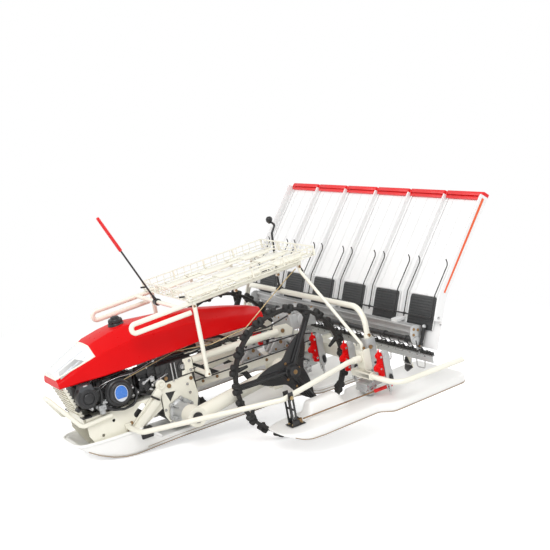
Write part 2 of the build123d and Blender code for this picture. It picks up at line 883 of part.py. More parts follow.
# dividers between the lanes, and the tray's side flanges
with BuildPart() as tray_ribs:
    for x in lane_lines[1:-1]:
        add_tray_strip(rib_height, 0, x - rib_width / 2, x + rib_width / 2, rib_start)
    for sign in (1, -1):
        x_low = tray_half - rib_width if sign > 0 else -tray_half
        add_tray_strip(flange_height, 0, x_low, x_low + rib_width, rib_start)
keep(tray_ribs, "tray_ribs")

with BuildPart() as tray_caps:
    cap_plane = Plane(
        origin=Vector(0, *tray_top) + upper_slope * seat_gap, x_dir=(1, 0, 0), z_dir=upper_slope
    )
    with BuildSketch(cap_plane):
        for x in row_x:
            with Locations((x, tray_thickness / 2)):
                Rectangle(row_pitch - cap_gap, cap_depth)
    extrude(amount=cap_rise)
keep(tray_caps, "tray_caps")

belt_plane = Plane(
    origin=Vector(0, *tray_bottom) + lower_normal * 0.0, x_dir=(1, 0, 0), z_dir=lower_normal
)
belt_limit = math.hypot(tray_bend[0] - tray_bottom[0], tray_bend[1] - tray_bottom[1])
with BuildPart() as feed_belts:
    with BuildSketch(belt_plane):
        length = min(belt_end, belt_limit - 4) - belt_start
        for x in row_x:
            with Locations((x, belt_start + length / 2)):
                Rectangle(belt_width, length)
    extrude(amount=belt_thickness)
keep(feed_belts, "feed_belts")

rod_stand = rib_height + rod_radius + 1 + seat_gap
with BuildPart() as press_rods:
    line = tray_line(rod_stand)
    bend_point = Vector(0, *line[1])
    low_end = bend_point - lower_slope * 118
    high_end = bend_point + upper_slope * rod_rise
    tip = high_end + upper_slope * 24 + upper_normal * 22
    for x in row_x:
        for offset in (-rod_offset, rod_offset):
            across = Vector(x + offset, 0, 0)
            add_bar(
                [across + low_end, across + bend_point, across + high_end, across + tip], rod_radius, 14
            )
    bar_at = bend_point - lower_slope * rod_bar_drop
    add_bar(
        [Vector(-tray_half + rib_width + 2, 0, 0) + bar_at, Vector(tray_half - rib_width - 2, 0, 0) + bar_at],
        rod_radius + 1,
    )
keep(press_rods, "press_rods")

# ---- spare seedling rack ------------------------------------------------------------------------------
crossbar_y = gearbox_rear + rack_tube_radius + seat_gap
crossbar_z = 415.0
with BuildPart() as rack_frame:
    for sign in (1, -1):
        x = sign * rack_half
        add_bar(
            (
                (x, rack_rear - 90, rack_z(rack_rear - 90)),
                (x, hairpin_front, rack_z(hairpin_front)),
                (x, hairpin_front, rack_z(hairpin_front) - 44),
                (x, rack_front + 8, rack_z(rack_front) - 44),
            ),
            rack_tube_radius,
            21,
        )
        # front leg down to the crossbar
        add_bar(((x, crossbar_y, crossbar_z), (x, crossbar_y, rack_z(crossbar_y))), rack_tube_radius - 1)
    add_bar(((-rack_half, crossbar_y, crossbar_z), (rack_half, crossbar_y, crossbar_z)), rack_tube_radius)
    add_bar(
        ((-rack_half, marker_y, rack_z(marker_y)), (rack_half, marker_y, rack_z(marker_y))),
        rack_tube_radius - 2,
    )
    add_bar(
        ((-rack_half, rack_rear - 100, rack_z(200)), (rack_half, rack_rear - 100, rack_z(200))),
        rack_tube_radius - 2,
    )
keep(rack_frame, "rack_frame")

with BuildPart() as rack_stays:
    for sign in (1, -1):
        add_bar(
            (
                (sign * (side_float_x - 4), column_front - 20, 392 + seat_gap),
                (sign * (side_float_x - 4), column_front - 20, 392 + 30),
                (sign * (rack_half + 2), 205, rack_z(205) - rack_tube_radius - 28),
                (sign * (rack_half + 2), 205, rack_z(205) - rack_tube_radius - seat_gap - 1),
            ),
            8,
            12,
        )
keep(rack_stays, "rack_stays")

basket_low = rack_tube_radius + seat_gap
rack_plane = Plane(
    origin=(0, 0, rack_mid_z), x_dir=(1, 0, 0), z_dir=Vector(0, -rack_slope, 1).normalized()
)
with BuildPart() as rack_basket:
    with BuildSketch(rack_plane.offset(basket_low)):
        with Locations((0, (rack_front + rack_rear) / 2)):
            Rectangle(2 * basket_half, rack_rear - rack_front)
            Rectangle(2 * basket_half - 2 * basket_bar, rack_rear - rack_front - 2 * basket_bar, mode=Mode.SUBTRACT)
            with GridLocations(0, (rack_rear - rack_front) / 6, 1, 5):
                Rectangle(2 * basket_half - 2, basket_bar)
            with GridLocations(170, 0, 3, 1):
                Rectangle(60, rack_rear - rack_front - 2)
    extrude(amount=3)
    with BuildSketch(rack_plane.offset(basket_low)):
        with Locations((0, (rack_front + rack_rear) / 2)):
            with GridLocations(2 * basket_half - basket_bar, (rack_rear - rack_front - basket_bar) / 4, 2, 5):
                Rectangle(basket_bar, basket_bar)
            with GridLocations(2 * (basket_half - basket_bar / 2) / 3, rack_rear - rack_front - basket_bar, 4, 2):
                Rectangle(basket_bar, basket_bar)
    extrude(amount=basket_rail_height)
    with BuildSketch(rack_plane.offset(basket_low + basket_rail_height - 5)):
        with Locations((0, (rack_front + rack_rear) / 2)):
            Rectangle(2 * basket_half, rack_rear - rack_front)
            Rectangle(2 * basket_half - 2 * basket_bar, rack_rear - rack_front - 2 * basket_bar, mode=Mode.SUBTRACT)
    extrude(amount=5)
keep(rack_basket, "rack_basket")

# ---- handlebars, levers ------------------------------------------------------------------------------
with BuildPart() as handlebars:
    for sign in (1, -1):
        x = sign * handle_x
        add_bar(
            (
                (x, beam_rear + seat_gap, 296),
                (x, 560, 296),
                (x + sign * handle_spread, handle_knee[0], handle_knee[1]),
                (x + sign * handle_spread, handle_end[0], handle_end[1]),
            ),
            handle_radius,
            70,
        )
    add_bar(((-handle_x - 14, 786, 571), (handle_x + 14, 786, 571)), handle_radius - 3)
keep(handlebars, "handlebars")

grip_axis = Vector(0, handle_end[0] - handle_knee[0], handle_end[1] - handle_knee[1]).normalized()
with BuildPart() as handle_grips:
    for sign in (1, -1):
        start = Vector(sign * (handle_x + handle_spread), *handle_end) + grip_axis * seat_gap
        add_bar((start, start + grip_axis * grip_length), grip_radius)
keep(handle_grips, "handle_grips")

with BuildPart() as gear_lever:
    lever_y = (column_front + column_rear) / 2
    lever_foot = hoop_z + hoop_tube_radius + seat_gap
    add_bar(
        (
            (lever_x, lever_y, lever_foot),
            (lever_x, lever_y, lever_foot + 80),
            (lever_x, lever_y + 14, 905),
            (lever_x, lever_y + 40, 944),
            (lever_x, lever_y + 14, 972),
        ),
        6,
        12,
    )
    with Locations((lever_x, lever_y + 12, 976)):
        Sphere(17)
keep(gear_lever, "gear_lever")

# ---- markers -----------------------------------------------------------------------------------------
pivot_marker = Vector(0, marker_y, rack_z(marker_y))
lean = math.radians(marker_lean)
marker_direction = Vector(0, -math.sin(lean), math.cos(lean))
collar_radius = rack_tube_radius - 2 + running_fit
with BuildPart() as centre_marker:
    add_disc(-16, 16, pivot_marker.Y, pivot_marker.Z, 17)
    start = pivot_marker + marker_direction * 10
    add_bar((start, start + marker_direction * (marker_length - 10)), marker_rod_radius)
    grip_start = pivot_marker + marker_direction * (marker_length - 1)
    add_bar((grip_start, grip_start + marker_direction * 120), marker_grip_radius)
    add_disc(-16, 16, pivot_marker.Y, pivot_marker.Z, collar_radius, Mode.SUBTRACT)
keep(centre_marker, "centre_marker")

side_pivot_y = link_y + 62
side_pivot_z = link_bottom + 6 + seat_gap
for side, sign in sides:
    pivot_x = sign * (side_float_x + 12)
    side_start = Vector(pivot_x, side_pivot_y, side_pivot_z + 12)
    side_run = Vector(sign * side_marker_spread, side_marker_length, side_marker_rise)
    side_end = side_start + side_run
    with BuildPart() as side_marker:
        with Locations((pivot_x, side_pivot_y, side_pivot_z + 9)):
            Cylinder(11, 18)
        add_bar((side_start, side_end), 4)
        add_bar((side_end, side_end + side_run.normalized() * 100), marker_grip_radius)
    keep(side_marker, f"side_marker_{side}")

# ---- set the machine down as it parks ----------------------------------------------------------------
lean_axis = Axis((0, 0, axle_height), (1, 0, 0))
leaning = {node: piece.rotate(lean_axis, park_pitch) for node, piece in machine.items()}
boxes = [piece.bounding_box() for piece in leaning.values()]
y_centre = (min(b.min.Y for b in boxes) + max(b.max.Y for b in boxes)) / 2
os.makedirs("parts", exist_ok=True)
for node, piece in leaning.items():
    parked = piece.moved(Location((0, -y_centre, 0)))
    parked.label = node
    export_step(parked, f"parts/{node}.step")


def parked_point(x, y, z):
    """A point of the level machine after it is set down, in metres."""
    angle = math.radians(park_pitch)
    dy, dz = y, z - axle_height
    turned_y = dy * math.cos(angle) - dz * math.sin(angle)
    turned_z = axle_height + dy * math.sin(angle) + dz * math.cos(angle)
    return [round(x / 1000, 6), round((turned_y - y_centre) / 1000, 6), round(turned_z / 1000, 6)]


print("park pitch", round(park_pitch, 6), "centre shift", round(y_centre, 6), "nodes", len(machine))
print("axle", parked_point(0, 0, axle_height))
print("marker pivot", parked_point(*pivot_marker))
print("side marker pivot", parked_point(side_float_x + 12, side_pivot_y, side_pivot_z))
print("lowest", round(min(b.min.Z for b in boxes), 3), "highest", round(max(b.max.Z for b in boxes), 3))
print("half length", round((max(b.max.Y for b in boxes) - min(b.min.Y for b in boxes)) / 2, 2))
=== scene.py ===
import json
import logging
import math
from dataclasses import dataclass, field
from enum import Enum
from typing import Mapping, Sequence

import bmesh
import bpy
from mathutils import Matrix, Vector


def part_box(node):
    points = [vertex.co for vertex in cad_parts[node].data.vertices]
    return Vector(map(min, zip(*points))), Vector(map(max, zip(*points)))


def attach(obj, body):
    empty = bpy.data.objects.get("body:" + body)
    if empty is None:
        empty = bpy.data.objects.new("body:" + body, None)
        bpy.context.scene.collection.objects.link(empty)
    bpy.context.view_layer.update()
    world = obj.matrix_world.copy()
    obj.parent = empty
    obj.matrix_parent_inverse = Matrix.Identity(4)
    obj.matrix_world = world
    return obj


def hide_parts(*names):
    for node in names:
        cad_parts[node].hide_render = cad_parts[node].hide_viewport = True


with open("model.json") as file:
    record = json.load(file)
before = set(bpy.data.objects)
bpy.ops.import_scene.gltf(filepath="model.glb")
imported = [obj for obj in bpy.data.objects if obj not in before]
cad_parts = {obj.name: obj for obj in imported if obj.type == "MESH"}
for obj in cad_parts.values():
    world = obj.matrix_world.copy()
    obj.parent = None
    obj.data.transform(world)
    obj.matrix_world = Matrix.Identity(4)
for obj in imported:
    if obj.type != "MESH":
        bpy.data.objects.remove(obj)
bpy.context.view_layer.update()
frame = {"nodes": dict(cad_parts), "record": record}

Point = Sequence[float]

LOG = logging.getLogger("rice_transplanter")

# The pieces are shaped on the level machine, in millimetres, and then set down as it parks.
PARK_PITCH = math.radians(7.803822)
CENTRE_SHIFT = 11.905886
AXLE_HEIGHT = 330.0
PARK = (
    Matrix.Translation((0.0, -CENTRE_SHIFT / 1000, AXLE_HEIGHT / 1000))
    @ Matrix.Rotation(PARK_PITCH, 4, "X")
    @ Matrix.Translation((0.0, 0.0, -AXLE_HEIGHT / 1000))
    @ Matrix.Scale(0.001, 4)
)
SIDES = (("left", 1.0), ("right", -1.0))
CHASSIS = "chassis"
LEFT = (1.0, 0.0, 0.0)
AHEAD = (0.0, -1.0, 0.0)
UP = (0.0, 0.0, 1.0)
WHITE = (1.0, 1.0, 1.0, 1.0)

# What all finishes share: pattern scales per metre, where the drift of colour starts and ends,
# and the reach of the shade painted into corners and the depth of the relief in metres.
DRIFT_SCALE = 3.0
FINE_SCALE = 55.0
DRIFT_RANGE = (0.35, 0.68)
COAT_ROUGHNESS = 0.06
CORNER_REACH = 0.016
CORNER_RANGE = (0.75, 0.2)
RELIEF_DEPTH = 0.0006
BRUSH_STRETCH = (0.03, 1.0, 1.0)


class Pattern(Enum):
    """How the small surface pattern of a finish runs."""

    SMOOTH = "smooth"
    ORANGE_PEEL = "orange_peel"
    CAST = "cast"
    BRUSHED = "brushed"
    MOULDED = "moulded"
    GRIPPY = "grippy"


PATTERN_SCALES = {
    Pattern.SMOOTH: 40.0,
    Pattern.ORANGE_PEEL: 260.0,
    Pattern.CAST: 420.0,
    Pattern.BRUSHED: 600.0,
    Pattern.MOULDED: 900.0,
    Pattern.GRIPPY: 300.0,
}


def eased(share: float) -> float:
    """Smooths the start and the end of a share that runs from 0 to 1."""
    return share * share * (3 - 2 * share)


def clamped(share: float) -> float:
    """Keeps a share between 0 and 1."""
    return min(1.0, max(0.0, share))


def on_circle(x: float, centre: Sequence[float], radius: float, degrees: float) -> Vector:
    """Gives a place on a circle that stands across the X axis.

    Args:
        x: X of the circle.
        centre: (Y, Z) of its middle.
        radius: Its radius.
        degrees: Angle from +Y, upwards.

    Returns:
        The place.
    """
    turn = math.radians(degrees)
    return Vector((x, centre[0] + radius * math.cos(turn), centre[1] + radius * math.sin(turn)))


def mean(points: Sequence[Vector]) -> Vector:
    """Gives the mean of some points."""
    return sum(points, Vector()) / len(points)


def facing(direction: Vector, front: str = "Z") -> Matrix:
    """Gives the turn that points an axis along a direction.

    Args:
        direction: Where the axis points.
        front: The axis.

    Returns:
        The turn.
    """
    return direction.to_track_quat(front, "Y").to_matrix().to_4x4()


def feed(tree: bpy.types.NodeTree, node: bpy.types.Node, inputs: Mapping[str | int, object]) -> None:
    """Sets or links the inputs of a node.

    Args:
        tree: Node tree of the node.
        node: The node.
        inputs: Value or source socket of each input, by name or index.
    """
    for key, value in inputs.items():
        if isinstance(value, bpy.types.NodeSocket):
            tree.links.new(value, node.inputs[key])
        else:
            node.inputs[key].default_value = value


def add_node(
    tree: bpy.types.NodeTree, kind: str, inputs: Mapping[str | int, object], **settings: object
) -> bpy.types.Node:
    """Adds a shader node.

    Args:
        tree: Node tree to add to.
        kind: Type of the node, without its first word.
        inputs: Value or source socket of its inputs, by name or index.
        **settings: Settings of the node.

    Returns:
        The node.
    """
    node = tree.nodes.new(f"ShaderNode{kind}")
    for key, value in settings.items():
        setattr(node, key, value)
    feed(tree, node, inputs)
    return node


@dataclass(frozen=True)
class Finish:
    """One procedural finish: its colours, gloss and surface pattern.

    Args:
        name: Material name.
        slot: Material slot of the record that the finish belongs to; not used.
        colour: Main colour, linear RGB.
        shade: Second colour that the main one drifts to, linear RGB.
        metallic: Share of metal.
        roughness: Mean roughness.
        coat: Weight of the clear coat.
        pattern: Surface pattern.
        bump: Strength of the pattern's bump.
        corner_shade: Weight of the shade painted into corners and creases.
        corner_shade_colour: Colour of that painted shade, linear RGB.
        glint: Specular level of the surface under the coat.
    """

    name: str
    slot: str
    colour: tuple[float, float, float]
    shade: tuple[float, float, float]
    metallic: float = 0.0
    roughness: float = 0.4
    coat: float = 0.0
    pattern: Pattern = Pattern.SMOOTH
    bump: float = 0.1
    corner_shade: float = 0.0
    corner_shade_colour: tuple[float, float, float] = (0.16, 0.12, 0.07)
    glint: float = 0.5

    def material(self) -> bpy.types.Material:
        """Returns the finish as a material, made on first use."""
        found = bpy.data.materials.get(self.name)
        if found is not None:
            return found
        made = bpy.data.materials.new(self.name)
        made.use_nodes = True
        tree = made.node_tree
        place = add_node(tree, "TexCoord", {}).outputs["Object"]
        drift = add_node(tree, "TexNoise", {"Vector": place, "Scale": DRIFT_SCALE, "Detail": 4.0})
        fine = add_node(tree, "TexNoise", {"Vector": place, "Scale": FINE_SCALE, "Detail": 3.0})
        colour = self._tinted(tree, drift.outputs["Fac"])
        # Darkening in corners and creases, from Ambient Occlusion, is painted shade.
        if self.corner_shade > 0.0:
            colour = self._shaded_corners(tree, colour)
        low, high = max(0.03, self.roughness - 0.08), min(1.0, self.roughness + 0.1)
        spread = {"Value": fine.outputs["Fac"], "To Min": low, "To Max": high}
        rough = add_node(tree, "MapRange", spread)
        feed(tree, tree.nodes["Principled BSDF"], {
            "Base Color": colour,
            "Metallic": self.metallic,
            "Roughness": rough.outputs["Result"],
            "Coat Weight": self.coat,
            "Coat Roughness": COAT_ROUGHNESS,
            "Specular IOR Level": self.glint,
            "Normal": self._relief(tree, place),
        })
        return made

    def _tinted(
        self, tree: bpy.types.NodeTree, factor: bpy.types.NodeSocket
    ) -> bpy.types.NodeSocket:
        """Adds the drift from the main colour to the second one.

        Args:
            tree: Node tree of the material.
            factor: Socket that drives the drift.

        Returns:
            The colour socket.
        """
        ramp = add_node(tree, "ValToRGB", {"Fac": factor})
        low, high = ramp.color_ramp.elements
        low.position, high.position = DRIFT_RANGE
        low.color, high.color = (*self.colour, 1.0), (*self.shade, 1.0)
        return ramp.outputs["Color"]

    def _shaded_corners(
        self, tree: bpy.types.NodeTree, colour: bpy.types.NodeSocket
    ) -> bpy.types.NodeSocket:
        """Adds the dirt that gathers in corners.

        Args:
            tree: Node tree of the material.
            colour: Socket of the colour before the painted shade.

        Returns:
            The colour socket.
        """
        corner = add_node(tree, "AmbientOcclusion", {"Distance": CORNER_REACH}, samples=6)
        edge = add_node(tree, "MapRange", {
            "Value": corner.outputs["AO"], "From Min": CORNER_RANGE[0], "From Max": CORNER_RANGE[1],
            "To Max": self.corner_shade,
        })
        shaded = add_node(tree, "Mix", {
            "Factor": edge.outputs["Result"], "A": colour, "B": (*self.corner_shade_colour, 1.0),
        }, data_type="RGBA")
        return shaded.outputs["Result"]

    def _relief(
        self, tree: bpy.types.NodeTree, place: bpy.types.NodeSocket
    ) -> bpy.types.NodeSocket:
        """Adds the bump of the surface pattern.

        Args:
            tree: Node tree of the material.
            place: Socket of the Object coordinates.

        Returns:
            The normal socket.
        """
        if self.pattern is Pattern.BRUSHED:
            stretch = add_node(tree, "Mapping", {"Vector": place, "Scale": BRUSH_STRETCH})
            place = stretch.outputs["Vector"]
        inputs = {"Vector": place, "Scale": PATTERN_SCALES[self.pattern]}
        if self.pattern is Pattern.GRIPPY:
            height = add_node(tree, "TexVoronoi", inputs).outputs["Distance"]
        else:
            height = add_node(tree, "TexNoise", {**inputs, "Detail": 3.0}).outputs["Fac"]
        relief = add_node(
            tree, "Bump", {"Height": height, "Strength": self.bump, "Distance": RELIEF_DEPTH}
        )
        return relief.outputs["Normal"]


@dataclass(frozen=True)
class Finishes:
    """Every finish of the machine."""

    # A finish's grime weight and colour set the shade painted into its corners.
    cream: Finish = Finish(
        "cream_enamel", "cream_paint", (0.93, 0.91, 0.80), (0.905, 0.88, 0.755), roughness=0.34,
        coat=0.35, pattern=Pattern.ORANGE_PEEL, bump=0.08, corner_shade=0.55,
    )
    red: Finish = Finish(
        "red_enamel", "red_paint", (0.76, 0.002, 0.003), (0.7, 0.001, 0.003), roughness=0.3,
        coat=0.08, pattern=Pattern.ORANGE_PEEL, bump=0.02, glint=0.15,
    )
    red_cap: Finish = Finish(
        "red_moulding", "red_plastic", (0.8, 0.012, 0.014), (0.74, 0.01, 0.012), roughness=0.35,
        coat=0.1, pattern=Pattern.MOULDED, bump=0.08,
    )
    float_white: Finish = Finish(
        "float_white", "white_plastic", (0.965, 0.963, 0.945), (0.94, 0.935, 0.91), roughness=0.38,
        coat=0.15, pattern=Pattern.MOULDED, bump=0.08, corner_shade=0.3,
    )
    tray_white: Finish = Finish(
        "tray_white", "white_plastic", (0.9, 0.9, 0.895), (0.875, 0.875, 0.87), roughness=0.36,
        coat=0.15, pattern=Pattern.MOULDED, bump=0.05, corner_shade=0.12, corner_shade_colour=(0.4, 0.4, 0.4),
    )
    black_paint: Finish = Finish(
        "black_enamel", "black_paint", (0.012, 0.012, 0.013), (0.02, 0.02, 0.021), roughness=0.3,
        coat=0.4, pattern=Pattern.ORANGE_PEEL, bump=0.15,
    )
    black_plastic: Finish = Finish(
        "black_shroud", "black_plastic", (0.014, 0.014, 0.015), (0.024, 0.024, 0.025),
        roughness=0.36, coat=0.1, pattern=Pattern.MOULDED, bump=0.3,
    )
    grey_plastic: Finish = Finish(
        "grey_shroud", "black_plastic", (0.05, 0.053, 0.058), (0.07, 0.073, 0.08),
        roughness=0.4, pattern=Pattern.MOULDED, bump=0.25,
    )
    rubber: Finish = Finish(
        "lug_rubber", "tyre_rubber", (0.012, 0.012, 0.012), (0.028, 0.027, 0.025),
        roughness=0.55, pattern=Pattern.CAST, bump=0.5,
    )
    belt: Finish = Finish(
        "belt_rubber", "black_rubber", (0.045, 0.047, 0.048), (0.065, 0.067, 0.068),
        roughness=0.6, pattern=Pattern.GRIPPY, bump=0.8,
    )
    cast: Finish = Finish(
        "cast_alloy", "cast_metal", (0.64, 0.65, 0.65), (0.5, 0.51, 0.51), metallic=0.45,
        roughness=0.4, pattern=Pattern.CAST, bump=0.6, corner_shade=0.7, corner_shade_colour=(0.05, 0.05, 0.045),
    )
    dark_cast: Finish = Finish(
        "dark_cast", "engine_metal", (0.035, 0.036, 0.038), (0.09, 0.09, 0.088), metallic=0.6,
        roughness=0.45, pattern=Pattern.CAST, bump=0.7,
    )
    alloy: Finish = Finish(
        "drawn_alloy", "cast_metal", (0.54, 0.54, 0.535), (0.45, 0.45, 0.445), metallic=0.4,
        roughness=0.38, pattern=Pattern.BRUSHED, bump=0.3, corner_shade=0.2, corner_shade_colour=(0.08, 0.08, 0.08),
    )
    steel: Finish = Finish(
        "bright_steel", "steel", (0.62, 0.62, 0.62), (0.5, 0.5, 0.5), metallic=0.95,
        roughness=0.24, pattern=Pattern.BRUSHED, bump=0.2,
    )
    zinc: Finish = Finish(
        "yellow_zinc", "steel", (0.42, 0.27, 0.13), (0.27, 0.15, 0.07), metallic=0.75,
        roughness=0.38, pattern=Pattern.CAST, bump=0.3,
    )
    brass: Finish = Finish(
        "brass_rod", "steel", (0.62, 0.5, 0.3), (0.5, 0.38, 0.2), metallic=0.8,
        roughness=0.32, pattern=Pattern.BRUSHED, bump=0.2,
    )
    lens: Finish = Finish(
        "lamp_lens", "lamp_lens", (0.62, 0.64, 0.65), (0.4, 0.42, 0.44), metallic=0.35,
        roughness=0.12, coat=1.0, pattern=Pattern.SMOOTH, bump=0.2,
    )
    blue: Finish = Finish(
        "badge_blue", "black_plastic", (0.03, 0.17, 0.62), (0.04, 0.2, 0.66), roughness=0.25,
        coat=0.6, bump=0.02,
    )
    pale: Finish = Finish(
        "badge_pale", "steel", (0.72, 0.75, 0.8), (0.66, 0.69, 0.74), metallic=0.2,
        roughness=0.3, coat=0.4, bump=0.02,
    )
    orange: Finish = Finish(
        "tray_stripe", "red_plastic", (0.86, 0.12, 0.03), (0.84, 0.16, 0.05), roughness=0.35,
        coat=0.2, bump=0.02,
    )
    tan: Finish = Finish(
        "float_keel", "white_plastic", (0.42, 0.33, 0.24), (0.34, 0.26, 0.18), roughness=0.5,
        pattern=Pattern.MOULDED, bump=0.2,
    )


PAINT = Finishes()


def rounded(points: Sequence[Point], bend: float, steps: int = 6) -> list[Vector]:
    """Rounds the corners of a route.

    Args:
        points: Corners of the route.
        bend: Radius of each bend.
        steps: Pieces in each bend.

    Returns:
        The points of the rounded route.
    """
    corners = [Vector(p) for p in points]
    if bend <= 0.0 or len(corners) < 3:
        return corners
    route = [corners[0]]
    for before, corner, after in zip(corners, corners[1:], corners[2:]):
        back, ahead = (before - corner), (after - corner)
        turn = math.pi - back.angle(ahead, math.pi)
        if turn < 0.03:
            route.append(corner)
            continue
        reach = min(bend * math.tan(turn / 2), back.length * 0.48, ahead.length * 0.48)
        start, end = corner + back.normalized() * reach, corner + ahead.normalized() * reach
        for step in range(steps + 1):
            t = step / steps
            route.append(start * (1 - t) ** 2 + corner * 2 * t * (1 - t) + end * t**2)
    route.append(corners[-1])
    return route


class Form:
    """A mesh that is being shaped in the level machine's millimetres."""

    def __init__(self) -> None:
        """Starts an empty mesh."""
        self.mesh = bmesh.new()

    def _soften(self, verts: Sequence[bmesh.types.BMVert], radius: float, segments: int) -> None:
        """Rounds the sharp edges among some vertices.

        Args:
            verts: The vertices of the new shape.
            radius: Radius of the rounding, or 0 for none.
            segments: Faces across the rounding.
        """
        if radius <= 0.0:
            return
        edges = dict.fromkeys(edge for vert in verts for edge in vert.link_edges)
        sharp = [e for e in edges if len(e.link_faces) == 2 and e.calc_face_angle(0.0) > 0.6]
        bmesh.ops.bevel(
            self.mesh, geom=sharp, offset=radius, offset_type="OFFSET", segments=segments,
            profile=0.5, affect="EDGES", material=-1, clamp_overlap=True,
        )

    def box(self, low: Point, high: Point, soft: float = 0.0, turn: Matrix | None = None) -> "Form":
        """Adds a box.

        Args:
            low: Lowest corner.
            high: Highest corner.
            soft: Radius of its edges.
            turn: Turn about its middle.

        Returns:
            This form.
        """
        a, b = Vector(low), Vector(high)
        size = b - a
        place = Matrix.Translation((a + b) / 2) @ (turn or Matrix.Identity(4))
        place = place @ Matrix.Diagonal((*[abs(v) for v in size], 1.0))
        made = bmesh.ops.create_cube(self.mesh, size=1.0, matrix=place)
        self._soften(made["verts"], soft, 2)
        return self

    def block(self, middle: Vector, half: Point, soft: float, turn: Matrix | None = None) -> "Form":
        """Adds a box round its middle.

        Args:
            middle: Its middle.
            half: Half its size along X, Y and Z.
            soft: Radius of its edges.
            turn: Turn about its middle.

        Returns:
            This form.
        """
        return self.box(middle - Vector(half), middle + Vector(half), soft, turn)

    def boxes(self, *rows: tuple[Point, Point, float]) -> "Form":
        """Adds boxes that are not turned.

        Args:
            *rows: Lowest corner, highest corner and edge radius of each.

        Returns:
            This form.
        """
        for row in rows:
            self.box(*row)
        return self

    def tubes(self, radius: float, bend: float, *routes: Sequence[Point]) -> "Form":
        """Adds bent round bars of one thickness.

        Args:
            radius: Their radius.
            bend: Radius of their bends.
            *routes: Corners of each route.

        Returns:
            This form.
        """
        for route in routes:
            self.tube(route, radius, bend)
        return self

    def rod(
        self, start: Point, end: Point, radius: float, tip: float | None = None,
        sides: int = 24, soft: float = 0.0,
    ) -> "Form":
        """Adds a round bar or a cone between two points.

        Args:
            start: Middle of the first end.
            end: Middle of the second end.
            radius: Radius at the start.
            tip: Radius at the end, if it differs.
            sides: Faces around.
            soft: Radius of the end edges.

        Returns:
            This form.
        """
        a, b = Vector(start), Vector(end)
        axis = b - a
        place = Matrix.Translation((a + b) / 2) @ facing(axis)
        made = bmesh.ops.create_cone(
            self.mesh, cap_ends=True, cap_tris=False, segments=sides, radius1=radius,
            radius2=radius if tip is None else tip, depth=axis.length, matrix=place,
        )
        self._soften(made["verts"], soft, 2)
        return self

    def pin(
        self, x_from: float, x_to: float, place: Sequence[float], radius: float,
        tip: float | None = None, sides: int = 24, soft: float = 0.0,
    ) -> "Form":
        """Adds a round bar or a cone that lies along X.

        Args:
            x_from: X of its first end.
            x_to: X of its second end.
            place: (Y, Z) of its middle line.
            radius: Radius at the first end.
            tip: Radius at the second end, if it differs.
            sides: Faces around.
            soft: Radius of the end edges.

        Returns:
            This form.
        """
        return self.rod((x_from, *place), (x_to, *place), radius, tip, sides, soft)

    def ball(
        self, centre: Point, size: Point, turn: Matrix | None = None, sides: int = 16
    ) -> "Form":
        """Adds a ball or an egg.

        Args:
            centre: Its middle.
            size: Half its size along X, Y and Z.
            turn: Turn about its middle.
            sides: Faces around.

        Returns:
            This form.
        """
        place = Matrix.Translation(Vector(centre)) @ (turn or Matrix.Identity(4))
        bmesh.ops.create_uvsphere(
            self.mesh, u_segments=sides, v_segments=max(6, sides * 2 // 3), radius=1.0,
            matrix=place @ Matrix.Diagonal((*size, 1.0)),
        )
        return self

    def slab(self, outline: Sequence[Point], reach: Point, soft: float = 0.0) -> "Form":
        """Adds a plate: a flat outline pushed along a direction.

        Args:
            outline: Corners of the outline.
            reach: How far and where it is pushed.
            soft: Radius of its edges.

        Returns:
            This form.
        """
        corners = [self.mesh.verts.new(Vector(p)) for p in outline]
        face = self.mesh.faces.new(corners)
        pushed = bmesh.ops.extrude_face_region(self.mesh, geom=[face])
        moved = [v for v in pushed["geom"] if isinstance(v, bmesh.types.BMVert)]
        bmesh.ops.translate(self.mesh, vec=Vector(reach), verts=moved)
        self._soften(corners + moved, soft, 2)
        return self

    def side_plate(
        self, outline: Sequence[Point], x_from: float, x_to: float, soft: float = 0.0
    ) -> "Form":
        """Adds a plate with a side outline.

        Args:
            outline: (Y, Z) corners.
            x_from: X of its first face.
            x_to: X of its second face.
            soft: Radius of its edges.

        Returns:
            This form.
        """
        return self.slab([(x_from, y, z) for y, z in outline], (x_to - x_from, 0, 0), soft)

    def tube(self, points: Sequence[Point], radius: float, bend: float = 0.0, sides: int = 3) -> "Form":
        """Adds a bent round bar.

        Args:
            points: Corners of its route.
            radius: Its radius.
            bend: Radius of its bends.
            sides: Curve bevel resolution.

        Returns:
            This form.
        """
        curve = bpy.data.curves.new("route", "CURVE")
        curve.dimensions = "3D"
        curve.bevel_depth = radius
        curve.bevel_resolution = sides
        curve.use_fill_caps = True
        line = rounded(points, bend)
        spline = curve.splines.new("POLY")
        spline.points.add(len(line) - 1)
        for target, point in zip(spline.points, line):
            target.co = (*point, 1.0)
        holder = bpy.data.objects.new("route", curve)
        mesh = bpy.data.meshes.new_from_object(holder)
        self.mesh.from_mesh(mesh)
        bpy.data.objects.remove(holder)
        bpy.data.curves.remove(curve)
        bpy.data.meshes.remove(mesh)
        return self

    def turned(
        self, profile: Sequence[tuple[float, float]], centre: Point, axis: Point, steps: int = 48
    ) -> "Form":
        """Adds a turned shape.

        Args:
            profile: (distance along the axis, radius) points.
            centre: Where the axis starts.
            axis: Direction of the axis.
            steps: Faces around.

        Returns:
            This form.
        """
        along = Vector(axis).normalized()
        across = along.orthogonal().normalized()
        origin = Vector(centre)
        points = [self.mesh.verts.new(origin + along * d + across * r) for d, r in profile]
        edges = [self.mesh.edges.new(pair) for pair in zip(points, points[1:])]
        return self._spun(points + edges, origin, along, steps)

